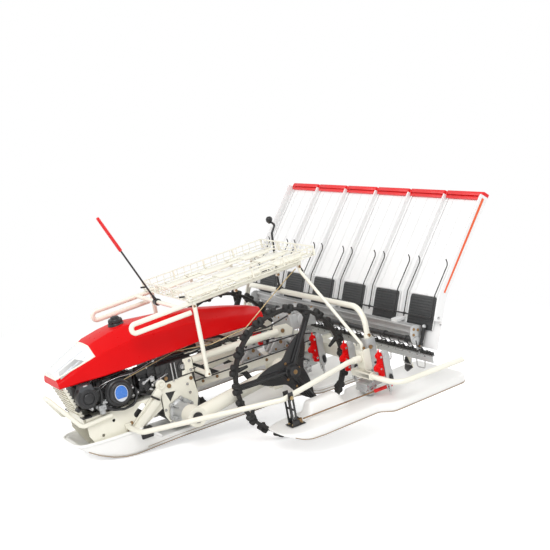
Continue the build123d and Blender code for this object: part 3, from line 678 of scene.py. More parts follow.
    def ring(self, centre: Point, axis: Point, radius: float, thick: float, steps: int = 72) -> "Form":
        """Adds a round hoop.

        Args:
            centre: Middle of the hoop.
            axis: Axis of the hoop.
            radius: Radius of its middle line.
            thick: Radius of its section.
            steps: Faces around.

        Returns:
            This form.
        """
        along = Vector(axis).normalized()
        across = along.orthogonal().normalized()
        origin = Vector(centre)
        place = Matrix.Translation(origin + across * radius) @ facing(along.cross(across))
        made = bmesh.ops.create_circle(
            self.mesh, cap_ends=False, segments=12, radius=thick, matrix=place
        )
        edges = list(dict.fromkeys(e for v in made["verts"] for e in v.link_edges))
        return self._spun(made["verts"] + edges, origin, along, steps)

    def _spun(
        self, section: list[bmesh.types.BMVert | bmesh.types.BMEdge], centre: Vector, axis: Vector,
        steps: int,
    ) -> "Form":
        """Turns a section once round an axis.

        Args:
            section: Vertices and edges of the section.
            centre: A place on the axis.
            axis: Direction of the axis.
            steps: Faces around.

        Returns:
            This form.
        """
        bmesh.ops.spin(
            self.mesh, geom=section, cent=centre, axis=axis, angle=math.tau, steps=steps,
            use_merge=True, use_duplicate=False,
        )
        return self

    def loft(self, rings: Sequence[Sequence[Point]]) -> "Form":
        """Adds a closed skin through a row of rings of equal count.

        Args:
            rings: The rings, from one end to the other.

        Returns:
            This form.
        """
        loops: list[list[bmesh.types.BMEdge]] = []
        ends: list[list[bmesh.types.BMVert]] = []
        for ring in rings:
            verts = [self.mesh.verts.new(Vector(p)) for p in ring]
            pairs = zip(verts, verts[1:] + verts[:1])
            loops.append([self.mesh.edges.new(pair) for pair in pairs])
            ends.append(verts)
        for first, second in zip(loops, loops[1:]):
            bmesh.ops.bridge_loops(self.mesh, edges=first + second)
        self.mesh.faces.new(ends[0])
        self.mesh.faces.new(list(reversed(ends[-1])))
        return self

    def bolt(self, seat: Point, axis: Point, size: float = 7.0) -> "Form":
        """Adds a hexagon bolt head on a washer.

        Args:
            seat: Middle of the washer's underside.
            axis: Direction the head stands in.
            size: Radius of the head.

        Returns:
            This form.
        """
        start, along = Vector(seat), Vector(axis).normalized()
        self.rod(start, start + along * size * 0.25, size * 1.35, sides=16)
        self.rod(start, start + along * size * 0.95, size, sides=6, soft=size * 0.08)
        return self

    def bolts(
        self, x: float, places: Sequence[Sequence[float]], size: float, way: float = 1.0
    ) -> "Form":
        """Adds bolt heads that stand along X.

        Args:
            x: X of the washers' undersides.
            places: (Y, Z) of each.
            size: Radius of the heads.
            way: 1 where they point to the left, -1 where to the right.

        Returns:
            This form.
        """
        for y, z in places:
            self.bolt((x, y, z), (way, 0, 0), size)
        return self

    def mirrored(self) -> "Form":
        """Adds the same shapes again on the machine's other side."""
        made = bmesh.ops.duplicate(
            self.mesh, geom=self.mesh.verts[:] + self.mesh.edges[:] + self.mesh.faces[:]
        )
        verts = [v for v in made["geom"] if isinstance(v, bmesh.types.BMVert)]
        bmesh.ops.scale(self.mesh, vec=(-1.0, 1.0, 1.0), verts=verts)
        faces = [f for f in made["geom"] if isinstance(f, bmesh.types.BMFace)]
        bmesh.ops.reverse_faces(self.mesh, faces=faces)
        return self

    def piece(
        self, name: str, finish: Finish, body: str = CHASSIS, stands_for: Sequence[str] = (),
        rounding: int = 0, sharp: float = 38.0,
    ) -> bpy.types.Object:
        """Finishes the mesh as a named piece of the machine.

        Args:
            name: Piece name.
            finish: Its finish.
            body: Body that it rides on.
            stands_for: Nodes that it stands for.
            rounding: Levels of subdivision surface.
            sharp: Angle above which an edge stays sharp, in degrees.

        Returns:
            The piece.
        """
        bmesh.ops.remove_doubles(self.mesh, verts=self.mesh.verts, dist=0.02)
        bmesh.ops.recalc_face_normals(self.mesh, faces=self.mesh.faces)
        bmesh.ops.transform(self.mesh, matrix=PARK, verts=self.mesh.verts)
        data = bpy.data.meshes.new(name)
        self.mesh.to_mesh(data)
        self.mesh.free()
        data.shade_smooth()
        data.set_sharp_from_angle(angle=math.radians(sharp))
        data.materials.append(finish.material())
        made = bpy.data.objects.new(name, data)
        bpy.context.scene.collection.objects.link(made)
        if rounding > 0:
            smoother = made.modifiers.new("rounding", "SUBSURF")
            smoother.levels = rounding
            smoother.render_levels = rounding
        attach(made, body)
        if stands_for:
            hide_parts(*stands_for)
        LOG.info("%s: %d faces", name, len(data.polygons))
        return made


def dress(node: str, finish: Finish) -> None:
    """Gives a carried-over node its finish.

    Args:
        node: Node name.
        finish: Its finish.
    """
    target = frame["nodes"][node]
    target.data.materials.clear()
    target.data.materials.append(finish.material())


@dataclass
class Wheel:
    """A lugged wheel on one side of the machine.

    Args:
        side: Name of the side.
        sign: 1 for the left side, -1 for the right.
        track: Distance of the wheel's middle plane from the machine's.
        tip_radius: Radius over the lugs.
        hoop_radius: Outer radius of the rim.
        lugs: Number of lugs.
        knob: Radius of a lug's round knobs at the rim.
        knob_tip: Their radius at the tip.
        knob_spread: Degrees between a lug's two knobs.
        spokes: Angles of the spokes, from the rear.
    """

    side: str
    sign: float
    track: float = 355.0
    tip_radius: float = 329.0
    hoop_radius: float = 303.0
    lugs: int = 22
    knob: float = 18.0
    knob_tip: float = 15.0
    knob_spread: float = 5.2
    spokes: tuple[float, float, float] = (60.0, 180.0, 300.0)

    def at(self, angle: float, radius: float, out: float) -> Vector:
        """Gives a place on the wheel.

        Args:
            angle: Degrees from the rear, upwards.
            radius: Distance from the axle.
            out: Distance outwards from the wheel's middle plane.

        Returns:
            The place.
        """
        return on_circle(self.sign * (self.track + out), (0.0, AXLE_HEIGHT), radius, angle)

    def _turned(self, form: Form, profile: Sequence[tuple[float, float]], steps: int) -> Form:
        """Adds a shape that is turned round the axle.

        Args:
            form: Form to add it to.
            profile: (distance outwards from the wheel's middle plane, radius) points.
            steps: Faces around.

        Returns:
            The form.
        """
        middle = (self.sign * self.track, 0, AXLE_HEIGHT)
        return form.turned(profile, middle, (self.sign, 0, 0), steps)

    def build(self) -> None:
        """Builds the rim, lugs, spokes, web and hub."""
        body = f"wheel_{self.side}"
        self._rim(body)
        self._lugs(body)
        self._spider(body)
        self._hub(body)

    def _rim(self, body: str) -> None:
        """Builds the thin rim.

        Args:
            body: The wheel's body.
        """
        outer = self.hoop_radius
        profile = [
            (-17, outer - 5), (-8, outer - 8), (8, outer - 8), (17, outer - 5), (19, outer),
            (9, outer + 4), (-9, outer + 4), (-19, outer), (-17, outer - 5),
        ]
        form = self._turned(Form(), profile, 120)
        form.piece(f"wheel_rim_{self.side}", PAINT.black_paint, body, (f"wheel_{self.side}",))

    def _lugs(self, body: str) -> None:
        """Builds the rubber lugs: a knob on the rim and a blade that leans to one side.

        Args:
            body: The wheel's body.
        """
        form = Form()
        outer = self.hoop_radius
        for index in range(self.lugs):
            angle, lean = index * 360.0 / self.lugs, 1.0 if index % 2 else -1.0
            half = self.knob_spread / 2
            for place, reach in ((-half, -3.0), (half, 0.0)):
                form.rod(
                    self.at(angle + place, outer - 12, lean * 5),
                    self.at(angle + place, self.tip_radius + reach, lean * 9),
                    self.knob, self.knob_tip, 18, 6.5,
                )
            blade = [
                self.at(angle - 2.0, outer - 12, lean * 3),
                self.at(angle - 2.4, self.tip_radius - 8, lean * 10),
                self.at(angle - 2.4, self.tip_radius - 10, lean * 24),
                self.at(angle - 2.2, outer + 2, lean * 30),
                self.at(angle - 2.0, outer - 18, lean * 24),
                self.at(angle - 1.8, outer - 24, lean * 10),
            ]
            form.slab(blade, self.at(angle + 2.4, 300, 0) - self.at(angle, 300, 0), 4.5)
            form.ball(self.at(angle + 0.3, outer - 6, lean * 14), (15, 13, 13), sides=14)
            if index % 3 == 1:
                start = self.at(angle, outer - 8, -lean * 3)
                form.rod(start, self.at(angle - 6, outer - 52, -lean * 20), 12.0, 7.0, 14, 4.0)
        self._turned(form, [
            (-21, outer - 4), (-12, outer - 9), (12, outer - 9), (21, outer - 4), (23, outer + 2),
            (13, outer + 7), (-13, outer + 7), (-23, outer + 2), (-21, outer - 4),
        ], 120)
        form.piece(f"lugs_{self.side}", PAINT.rubber, body, (f"tyre_{self.side}",), sharp=50)

    def _spider(self, body: str) -> None:
        """Builds the three spokes and the sheets between them.

        Args:
            body: The wheel's body.
        """
        form = Form()
        outline = []
        for spoke in self.spokes:
            for index in range(24):
                away = index * 5.0
                near = min(away, 120.0 - away)
                radius = 74 + 132 * (1 - near / 60) ** 2.1
                outline.append(self.at(spoke + away, radius, -6))
        form.slab(outline, (self.sign * 7, 0, 0), 1.6)
        for spoke in self.spokes:
            side = self.at(spoke + 90, 1, 0) - self.at(spoke + 90, 0, 0)
            corners = [
                self.at(spoke, 34, 1) - side * 17, self.at(spoke, 298, 1) - side * 15,
                self.at(spoke, 298, 1) + side * 15, self.at(spoke, 34, 1) + side * 17,
            ]
            form.slab(corners, (self.sign * 9, 0, 0), 1.5)
            form.rod(self.at(spoke, 30, 14), self.at(spoke, 297, 12), 8.5, 8.5, 20)
            foot = [(284, -18), (299, -18), (299, 22), (284, 20)]
            form.slab([self.at(spoke, radius, out) for radius, out in foot], side * 26, 2.0)
        form.piece(f"wheel_spider_{self.side}", PAINT.black_paint, body)

    def _hub(self, body: str) -> None:
        """Builds the hub with its flange and bolts.

        Args:
            body: The wheel's body.
        """
        hub = self._turned(Form(), [
            (-33, 17.2), (-33, 40), (-30, 42), (-12, 42), (-10, 52), (2, 52), (4, 40), (22, 38),
            (24, 33), (34, 31), (35, 28), (35, 17.2), (-33, 17.2),
        ], 56)
        self._turned(hub, [
            (36, 25), (36, 30), (40, 31), (47, 30), (49.5, 26), (49.5, 12), (47.6, 12), (47.6, 25),
            (36, 25),
        ], 48)
        hub.piece(f"wheel_hub_{self.side}", PAINT.black_paint, body)
        nut = [(47.7, 0), (47.7, 11), (49.6, 11), (50.4, 9.6), (50.4, 0)]
        form = self._turned(Form(), nut, 36).bolt(self.at(0, 0, 50), (self.sign, 0, 0), 7)
        form.piece(f"axle_nut_{self.side}", PAINT.zinc, body)
        bolts = Form()
        for spoke in self.spokes:
            bolts.bolt(self.at(spoke + 60, 46, 2), (self.sign, 0, 0), 5.5)
        bolts.bolt(self.at(282, 88, 1), (self.sign, 0, 0), 4.5)
        bolts.piece(f"wheel_bolts_{self.side}", PAINT.zinc, body)


@dataclass(frozen=True)
class Plan:
    """The outline of a float, seen from above.

    Args:
        corners: (Y, half width) of its corners.
        smooth: Stations between which it runs in even curves.
    """

    corners: tuple[tuple[float, float], ...]
    smooth: tuple[float, float]

    def half(self, y: float) -> float:
        """Gives the half width at a station.

        Args:
            y: Station along the machine.

        Returns:
            The half width.
        """
        low, high = self.smooth
        for (y0, h0), (y1, h1) in zip(self.corners, self.corners[1:]):
            if y <= y1:
                share = max(0.0, (y - y0) / (y1 - y0))
                return h0 + (h1 - h0) * (eased(share) if low < y < high else share)
        return self.corners[-1][1]


@dataclass
class CentreFloat:
    """The long middle float with its open bow.

    Args:
        bottom: Height of its underside.
        gunwale: Height of the bow's rim.
        deck: Height of the rear deck.
        basin: Height of the floor inside the bow.
        nose: Radius that the keel rises with at the bow.
        nose_from: Station where it starts to rise.
        plan: Its outline.
    """

    bottom: float = 105.0
    gunwale: float = 225.0
    deck: float = 147.0
    basin: float = 157.0
    nose: float = 420.0
    nose_from: float = -760.0
    plan: Plan = Plan((
        (-1057, 46), (-1050, 92), (-1038, 116), (-1020, 133), (-985, 145), (-930, 152),
        (-820, 158), (-660, 138), (-540, 125), (130, 125), (170, 150), (230, 214), (300, 215),
        (620, 215),
    ), (-560.0, math.inf))

    def keel(self, y: float) -> float:
        """Gives the height of the underside at a station."""
        ahead = min(max(0.0, self.nose_from - y), 297.0)
        return self.bottom + self.nose - math.sqrt(self.nose**2 - ahead**2)

    def rim(self, y: float) -> float:
        """Gives the height of the upper edge at a station."""
        return self.gunwale + (self.deck - self.gunwale) * eased(clamped((y + 740) / 122))

    def _top(self, x: float, y: float) -> float:
        """Gives the height of the deck or of the basin's floor.

        Args:
            x: Distance from the middle.
            y: Station along the machine.

        Returns:
            The height.
        """
        rim, half = self.rim(y), self.plan.half(y)
        if y > -636:
            return rim + 5.0 * max(0.0, 1 - abs(x) / half)
        inside = clamped((half - 13 - abs(x)) / 16)
        ends = clamped((y + 1034) / 44) * clamped((-640 - y) / 46)
        depth = max(0.0, rim - max(self.basin, self.keel(y) + 10))
        return rim - depth * eased(inside * ends)

    def build(self) -> None:
        """Builds the hull, its rim and the brown edge."""
        stations = [
            -1057, -1052, -1046, -1038, -1028, -1016, -1002, -988, -974, -960, -940, -915, -885,
            -850, -815, -780, -750, -725, -700, -686, -672, -660, -650, -640, -628, -600, -540,
            -460, -380, -300, -200, -100, 0, 80, 130, 150, 170, 190, 210, 230, 260, 320, 400, 480,
            560, 610, 620,
        ]
        hull = Form().loft([self._ring(y) for y in stations])
        hull.piece(
            "centre_float_hull", PAINT.float_white, CHASSIS, ("centre_float",), rounding=1, sharp=60
        )
        self._rolled_edge()

    def _ring(self, y: float) -> list[Point]:
        """Gives the closed section of the hull at a station.

        Args:
            y: Station along the machine.

        Returns:
            The section's points.
        """
        half, high = self.plan.half(y), self.rim(y)
        low = min(self.keel(y), high - 4)
        wall = high - low
        right = [
            (half - 30 if half > 70 else half * 0.6, low), (half - 10, low + wall * 0.04),
            (half - 3, low + wall * 0.16), (half - 1, low + wall * 0.5),
            (half - 1, high - wall * 0.14), (half, high - min(6, wall * 0.1)), (half - 4, high),
        ]
        inner = [half - 12, half - 16, half - 22, half - 29, half * 0.62, half * 0.3]
        right += [(x, self._top(x, y)) for x in inner]
        line = right + [(0.0, self._top(0.0, y))] + [(-x, z) for x, z in reversed(right)]
        return [(x, y, z) for x, z in line]

    def _rolled_edge(self) -> None:
        """Builds the rolled rim round the bow and the brown line along the keel."""
        half = self.plan.half
        ys = [-640, -700, -740, -800, -880, -960, -1000, -1020, -1036, -1046, -1052]
        left = [(half(y) - 4, y, self.rim(y) + 1) for y in ys]
        route = left + [(0, -1054, self.gunwale + 1)] + [(-x, y, z) for x, y, z in reversed(left)]
        Form().tube(route, 8.5, 26).piece("bow_rim", PAINT.float_white)
        keel = Form()
        ys = [
            -1010, -960, -900, -840, -780, -720, -640, -540, -300, 0, 130, 170, 200, 230, 300, 620,
        ]
        for sign in (1, -1):
            keel.tube([(sign * (half(y) - 1.5), y, self.keel(y) + 9) for y in ys], 2.6, 30)
            keel.tube([(sign * (half(y) - 0.5), y, self.keel(y) + 24) for y in ys[5:]], 1.3, 30)
        keel.piece("keel_line", PAINT.tan)


@dataclass
class SideFloat:
    """A side float with its raised mound.

    Args:
        side: Name of the side.
        sign: 1 for the left side, -1 for the right.
        middle: Distance of its middle from the machine's.
        bottom: Height of its underside.
        deck: Height of its deck.
        nose: Radius that the keel rises with at the bow.
        nose_from: Station where it starts to rise.
        mound: (Distance outwards, Y) of the mound's middle.
        plan: Its outline.
    """

    side: str
    sign: float
    middle: float = 610.0
    bottom: float = 105.0
    deck: float = 153.0
    nose: float = 190.0
    nose_from: float = -135.0
    mound: tuple[float, float] = (-35.0, 20.0)
    plan: Plan = Plan((
        (-269, 54), (-262, 84), (-248, 106), (-225, 124), (-180, 141), (-90, 150), (205, 150),
        (262, 213), (300, 215), (668, 215), (688, 204), (699, 186),
    ), (200.0, 262.0))

    def keel(self, y: float) -> float:
        """Gives the height of the underside at a station."""
        ahead = min(134.3, max(0.0, self.nose_from - y))
        return self.bottom + self.nose - math.sqrt(self.nose**2 - ahead**2)

    def _top(self, out: float, y: float, half: float) -> float:
        """Gives the height of the deck.

        Args:
            out: Distance outwards from the float's middle.
            y: Station along the machine.
            half: Half width at the station.

        Returns:
            The height.
        """
        edge = clamped((half - abs(out)) / 26)
        level = self.deck - 7 * (1 - edge) ** 2
        bow = max(0.0, (-200 - y) / 69)
        across = clamped((56 - abs(out - self.mound[0])) / 26)
        along = clamped((116 - abs(y - self.mound[1])) / 44)
        return level + 6 * bow * bow + 73 * eased(across) * eased(along)

    def build(self) -> None:
        """Builds the hull with its edge lines."""
        hinge = Vector((0, -200, self.deck))
        tilt = (
            Matrix.Translation(hinge) @ Matrix.Rotation(math.radians(2), 4, "X")
            @ Matrix.Translation(-hinge)
        )
        stations = [
            -269, -266, -261, -254, -244, -230, -210, -180, -150, -125, -108, -96, -84, -70, -55,
            -40, 0, 40, 80, 95, 110, 124, 136, 148, 160, 180, 200, 215, 230, 245, 262, 285, 330,
            400, 480, 560, 630, 664, 680, 692, 699,
        ]
        rings = [
            [tilt @ Vector((self.sign * (self.middle + x), y, z)) for x, z in self._ring(y)]
            for y in stations
        ]
        Form().loft(rings).piece(
            f"side_float_hull_{self.side}", PAINT.float_white, CHASSIS, (f"float_{self.side}",),
            rounding=1, sharp=60,
        )
        lines = Form()
        ys = [-232, -200, -160, -100, 0, 100, 200, 215, 230, 245, 262, 300, 500, 668, 694]
        for edge in (1, -1):
            outs = [self.sign * (self.middle + edge * (self.plan.half(y) - 2.2)) for y in ys]
            lines.tube([tilt @ Vector((x, y, self.keel(y) + 7)) for x, y in zip(outs, ys)], 2.8, 30)
        lines.piece(f"side_float_line_{self.side}", PAINT.tan)

    def _ring(self, y: float) -> list[tuple[float, float]]:
        """Gives the closed section of the hull at a station.

        Args:
            y: Station along the machine.

        Returns:
            (Distance outwards from the float's middle, Z) of the section's points.
        """
        shares = (
            1.0, 0.965, 0.9, 0.8, 0.62, 0.42, 0.26, 0.16, 0.1, 0.03, -0.04, -0.12, -0.24, -0.36,
            -0.44, -0.51, -0.58, -0.65, -0.74, -0.84, -0.92, -0.965, -1.0,
        )
        half = self.plan.half(y)
        high = self._top(half, y, half)
        low = min(self.keel(y), high - 3)
        wall = high - low
        skirt = [
            (half - 14, low), (half - 4, low + wall * 0.1), (half - 1, low + wall * 0.35),
            (half, low + wall * 0.8),
        ]
        deck = [(half * share * 0.995, self._top(half * share, y, half)) for share in shares]
        return skirt + deck + [(-x, z) for x, z in reversed(skirt)]


@dataclass
class Studio:
    """The floor, the lamps, the world and the camera.

    Args:
        lamps: (Name, place in metres, side in metres, power in watts) of each lamp.
        aim: Where the lamps point, in metres.
        azimuth: Camera's direction round the machine, in degrees.
        elevation: Camera's height angle, in degrees.
        roll: Camera's roll, in degrees.
        place: Camera's place, in metres.
        lens: Focal length for a 36 mm sensor.
    """

    lamps: tuple[tuple[str, tuple[float, float, float], float, float], ...] = (
        ("key", (4.2, -3.4, 5.2), 3.6, 212.0),
        ("fill", (-3.5, -4.5, 3.8), 4.2, 108.0),
        ("back", (1.0, 5.2, 4.4), 4.0, 112.0),
    )
    aim: tuple[float, float, float] = (0.0, 0.0, 0.45)
    azimuth: float = 61.14
    elevation: float = 7.904
    roll: float = -3.517
    place: tuple[float, float, float] = (5.3105, -2.797, 1.5922)
    lens: float = 77.89

    def build(self) -> None:
        """Builds the whole studio."""
        self._world()
        self._floor()
        for lamp in self.lamps:
            self._lamp(*lamp)
        self._camera()

    def _world(self) -> None:
        """Builds the world: white to the camera, soft grey as a light."""
        world = bpy.data.worlds.new("studio")
        bpy.context.scene.world = world
        world.use_nodes = True
        tree = world.node_tree
        tree.nodes.clear()
        path = add_node(tree, "LightPath", {})
        seen = add_node(tree, "Math", {
            0: path.outputs["Is Camera Ray"], 1: path.outputs["Is Transmission Ray"],
        }, operation="MAXIMUM")
        lit = add_node(tree, "Background", {"Color": WHITE, "Strength": 0.7})
        shown = add_node(tree, "Background", {"Color": WHITE, "Strength": 1.0})
        blend = add_node(
            tree, "MixShader", {0: seen.outputs[0], 1: lit.outputs[0], 2: shown.outputs[0]}
        )
        add_node(tree, "OutputWorld", {"Surface": blend.outputs[0]})

    def _floor(self) -> None:
        """Builds the pale floor, which fades to white away from the machine."""
        form = bmesh.new()
        bmesh.ops.create_grid(form, x_segments=12, y_segments=12, size=40.0)
        data = bpy.data.meshes.new("floor")
        form.to_mesh(data)
        form.free()
        floor = bpy.data.objects.new("floor", data)
        bpy.context.scene.collection.objects.link(floor)
        data.materials.append(self._floor_material())

    def _floor_material(self) -> bpy.types.Material:
        """Builds the floor's material: matt near the machine, white to the camera far away.

        Returns:
            The material.
        """
        made = bpy.data.materials.new("studio_floor")
        made.use_nodes = True
        tree = made.node_tree
        tree.nodes.clear()
        seen = add_node(tree, "LightPath", {}).outputs["Is Camera Ray"]
        matt = add_node(tree, "BsdfDiffuse", {"Color": (0.86, 0.86, 0.86, 1.0)})
        glow = add_node(tree, "Emission", {"Color": WHITE, "Strength": 0.52})
        none = add_node(tree, "Emission", {"Strength": 0.0})
        shown = add_node(tree, "MixShader", {0: seen, 1: none.outputs[0], 2: glow.outputs[0]})
        near = add_node(tree, "AddShader", {0: matt.outputs[0], 1: shown.outputs[0]})
        far = add_node(tree, "Emission", {"Color": WHITE, "Strength": 1.0})
        spot = add_node(tree, "TexCoord", {}).outputs["Object"]
        away = add_node(tree, "VectorMath", {0: spot}, operation="LENGTH").outputs["Value"]
        fade = add_node(tree, "MapRange", {"Value": away, "From Min": 1.5, "From Max": 3.6})
        both = add_node(tree, "Math", {0: fade.outputs["Result"], 1: seen}, operation="MULTIPLY")
        edge = add_node(
            tree, "MixShader", {0: both.outputs[0], 1: near.outputs[0], 2: far.outputs[0]}
        )
        add_node(tree, "OutputMaterial", {"Surface": edge.outputs[0]})
        return made

    def _lamp(self, name: str, place: Point, size: float, power: float) -> None:
        """Adds a soft square lamp aimed at the machine.

        Args:
            name: Lamp name.
            place: Its place, in metres.
            size: Its side, in metres.
            power: Its power, in watts.
        """
        light = bpy.data.lights.new(name, "AREA")
        light.shape = "SQUARE"
        light.size = size
        light.energy = power
        lamp = bpy.data.objects.new(name, light)
        bpy.context.scene.collection.objects.link(lamp)
        lamp.matrix_world = (
            Matrix.Translation(place) @ facing(Vector(self.aim) - Vector(place), "-Z")
        )

    def _camera(self) -> None:
        """Adds the camera."""
        turn, lift, roll = (math.radians(v) for v in (self.azimuth, self.elevation, self.roll))
        level = Vector((math.sin(turn), -math.cos(turn), 0))
        back = level * math.cos(lift) + Vector(UP) * math.sin(lift)
        right = Vector(UP).cross(back).normalized()
        up = back.cross(right)
        across = right * math.cos(roll) + up * math.sin(roll)
        above = up * math.cos(roll) - right * math.sin(roll)
        data = bpy.data.cameras.new("camera")
        data.sensor_fit = "HORIZONTAL"
        data.sensor_width = 36.0
        data.lens = self.lens
        data.clip_end = 200.0
        camera = bpy.data.objects.new("camera", data)
        bpy.context.scene.collection.objects.link(camera)
        camera.matrix_world = (
            Matrix.Translation(self.place) @ Matrix((across, above, back)).transposed().to_4x4()
        )
        bpy.context.scene.camera = camera


@dataclass
class Bonnet:
    """The faceted bonnet with its wrap-round lamp and filler cap.

    Args:
        sections: (Y, lower half, shoulder half, ridge half, lower Z, shoulder Z, ridge Z) of each
            section.
        lamp_front: (Y, Z) where the lamp's lower edge starts.
        lamp_rear: (Y, Z) where it ends.
        wall: Thickness of the skin.
        filler: (Y, Z) of the filler collar's foot.
    """

    sections: tuple[tuple[float, ...], ...] = (
        (-1072, 108, 100, 48, 521, 547, 585), (-966, 140, 132, 62, 528, 592, 634),
        (-860, 165, 156, 74, 534, 638, 682), (-775, 170, 158, 72, 537, 652, 704),
        (-690, 172, 157, 68, 540, 662, 718), (-490, 150, 136, 56, 543, 652, 704),
        (-292, 118, 106, 44, 546, 634, 684), (-120, 88, 80, 34, 534, 604, 648),
        (0, 66, 58, 26, 526, 580, 618), (66, 46, 34, 12, 530, 566, 592),
    )
    lamp_front: tuple[float, float] = (-1092, 556)
    lamp_rear: tuple[float, float] = (-862, 640)
    wall: float = 3.6
    filler: tuple[float, float] = (-700, 713)

    def _section(self, y: float) -> list[Vector]:
        """Gives the outer line of a section, from one lower edge to the other.

        Args:
            y: Station along the machine.

        Returns:
            The line's points.
        """
        pairs = list(zip(self.sections, self.sections[1:]))
        low, high = next((p for p in pairs if y <= p[1][0]), pairs[-1])
        t = (y - low[0]) / (high[0] - low[0])
        foot, shoulder, ridge, z_foot, z_shoulder, z_ridge = (
            a + (b - a) * t for a, b in zip(low[1:], high[1:])
        )
        side = [
            Vector((foot - 5, y, z_foot - 1)), Vector((foot, y, z_foot + 5)),
            Vector((shoulder, y, z_shoulder)), Vector((ridge, y, z_ridge)),
            Vector((0, y, z_ridge + 3)),
        ]
        line = side[:2]
        for before, corner, after, cut in zip(side[1:], side[2:], side[3:], (7.0, 5.0)):
            start = corner + (before - corner).normalized() * min(cut, (before - corner).length * 0.4)
            end = corner + (after - corner).normalized() * min(cut, (after - corner).length * 0.4)
            line += [start, corner * 0.5 + (start + end) * 0.25, end]
        line.append(side[4])
        return line + [Vector((-p.x, p.y, p.z)) for p in reversed(line[:-1])]

    def _skin(self, keep_lamp: bool) -> Form:
        """Builds the outer skin and cuts it along the lamp's lower edge.

        Args:
            keep_lamp: True for the lamp, False for the painted skin.

        Returns:
            The skin.
        """
        form = Form()
        stations = [
            -1072, -1050, -1020, -990, -966, -940, -910, -885, -860, -830, -800, -775, -750, -720,
            -690, -640, -590, -540, -490, -440, -390, -340, -292, -240, -180, -120, -60, 0, 34, 66,
        ]
        chains = []
        first: list[bmesh.types.BMVert] = []
        last: list[bmesh.types.BMVert] = []
        for y in stations:
            verts = [form.mesh.verts.new(p) for p in self._section(y)]
            chains.append([form.mesh.edges.new(pair) for pair in zip(verts, verts[1:])])
            first = first or verts
            last = verts
        for one, two in zip(chains, chains[1:]):
            bmesh.ops.bridge_loops(form.mesh, edges=one + two)
        form.mesh.faces.new(first)
        form.mesh.faces.new(last)
        (y0, z0), (y1, z1) = self.lamp_front, self.lamp_rear
        normal = Vector((0, -(z1 - z0), y1 - y0)).normalized()
        geometry = form.mesh.verts[:] + form.mesh.edges[:] + form.mesh.faces[:]
        bmesh.ops.bisect_plane(
            form.mesh, geom=geometry, plane_co=(0, y0, z0), plane_no=normal,
            clear_outer=False, clear_inner=False, dist=0.001,
        )
        rear_cut = Vector((0, 1.0, 0.42)).normalized()
        rear_at = Vector((0, -890, 668))
        above = [
            f for f in form.mesh.faces
            if (f.calc_center_median() - Vector((0, y0, z0))).dot(normal) > 0
            and (f.calc_center_median() - rear_at).dot(rear_cut) < 0
        ]
        others = [f for f in form.mesh.faces if f not in set(above)]
        bmesh.ops.delete(form.mesh, geom=others if keep_lamp else above, context="FACES")
        bmesh.ops.recalc_face_normals(form.mesh, faces=form.mesh.faces)
        return form

    def build(self) -> None:
        """Builds the painted skin, the lamp, its bezel and the filler cap."""
        skin = self._skin(False)
        bmesh.ops.solidify(skin.mesh, geom=skin.mesh.faces[:], thickness=self.wall)
        skin.piece("bonnet_skin", PAINT.red, CHASSIS, ("bonnet",), sharp=24)
        lamp = self._skin(True)
        rim = [e for e in lamp.mesh.edges if e.is_boundary]
        route = self._ordered(rim)
        bmesh.ops.solidify(lamp.mesh, geom=lamp.mesh.faces[:], thickness=self.wall)
        lamp.piece("lamp_cover", PAINT.lens, CHASSIS, ("headlight",), sharp=24)
        Form().tube(route + route[:1], 4.4).piece("lamp_bezel", PAINT.cream)
        self._reflectors()
        self._cap()

    def _ordered(self, edges: Sequence[bmesh.types.BMEdge]) -> list[Vector]:
        """Puts the points of a closed border in order, from where it runs straightest.

        Args:
            edges: The border's edges.

        Returns:
            The points in order.
        """
        left = list(edges)
        start, vert = left.pop(0).verts
        points = [start.co.copy(), vert.co.copy()]
        while left:
            following = next((e for e in vert.link_edges if e in left), None)
            if following is None:
                break
            left.remove(following)
            vert = following.other_vert(vert)
            points.append(vert.co.copy())
        route = points[:-1] if (points[0] - points[-1]).length < 0.01 else points
        neighbours = zip(route[-1:] + route[:-1], route, route[1:] + route[:1])
        turns = [(here - before).angle(after - here) for before, here, after in neighbours]
        first = turns.index(min(turns))
        return route[first:] + route[:first]

    def _reflectors(self) -> None:
        """Builds the raised ribs of the lamp and the grey bowls, whose darker grey is painted shade of
        the reflectors behind the lens.
        """
        ribs = Form()
        bowl_shade = Form()
        corners = [
            self._on_facet(y, rise)
            for y, rise in ((-1052, 0.16), (-1046, 0.8), (-960, 0.84), (-932, 0.3))
        ]
        face = (corners[2] - corners[0]).cross(corners[1] - corners[0]).normalized()
        if face.x < 0:
            face.negate()
        for sign in (1, -1):
            over = Matrix.Diagonal((sign, 1, 1))
            for start, end in ((-1064, -985), (-1040, -948), (-1010, -910)):
                rib = (self._on_facet(start, 0.34), self._on_facet(end, 0.52))
                ribs.tube([over @ p for p in rib], 2.2)
            edge = [self._on_facet(y, 1.0) for y in (-1066, -1020, -966, -916)]
            ribs.tube([over @ p for p in edge], 1.5, 20)
            # The grey slab stands for the reflector bowl behind the lens; its darker grey is painted
            # shade.
            bowl_shade.slab([over @ (p + face * 0.5) for p in corners], over @ face, 0.4)
        ribs.piece("lamp_ribs", PAINT.pale)
        bowl_shade.piece("lamp_bowl_shade", PAINT.alloy)

    def _on_facet(self, y: float, rise: float) -> Vector:
        """Gives a place on the sloping facet between the shoulder and the ridge.

        Args:
            y: Station along the machine.
            rise: Share of the way from the shoulder to the ridge.

        Returns:
            The place on the left side.
        """
        line = self._section(y)
        return line[3].lerp(line[6], rise) + Vector((0.6, 0, 0.6))

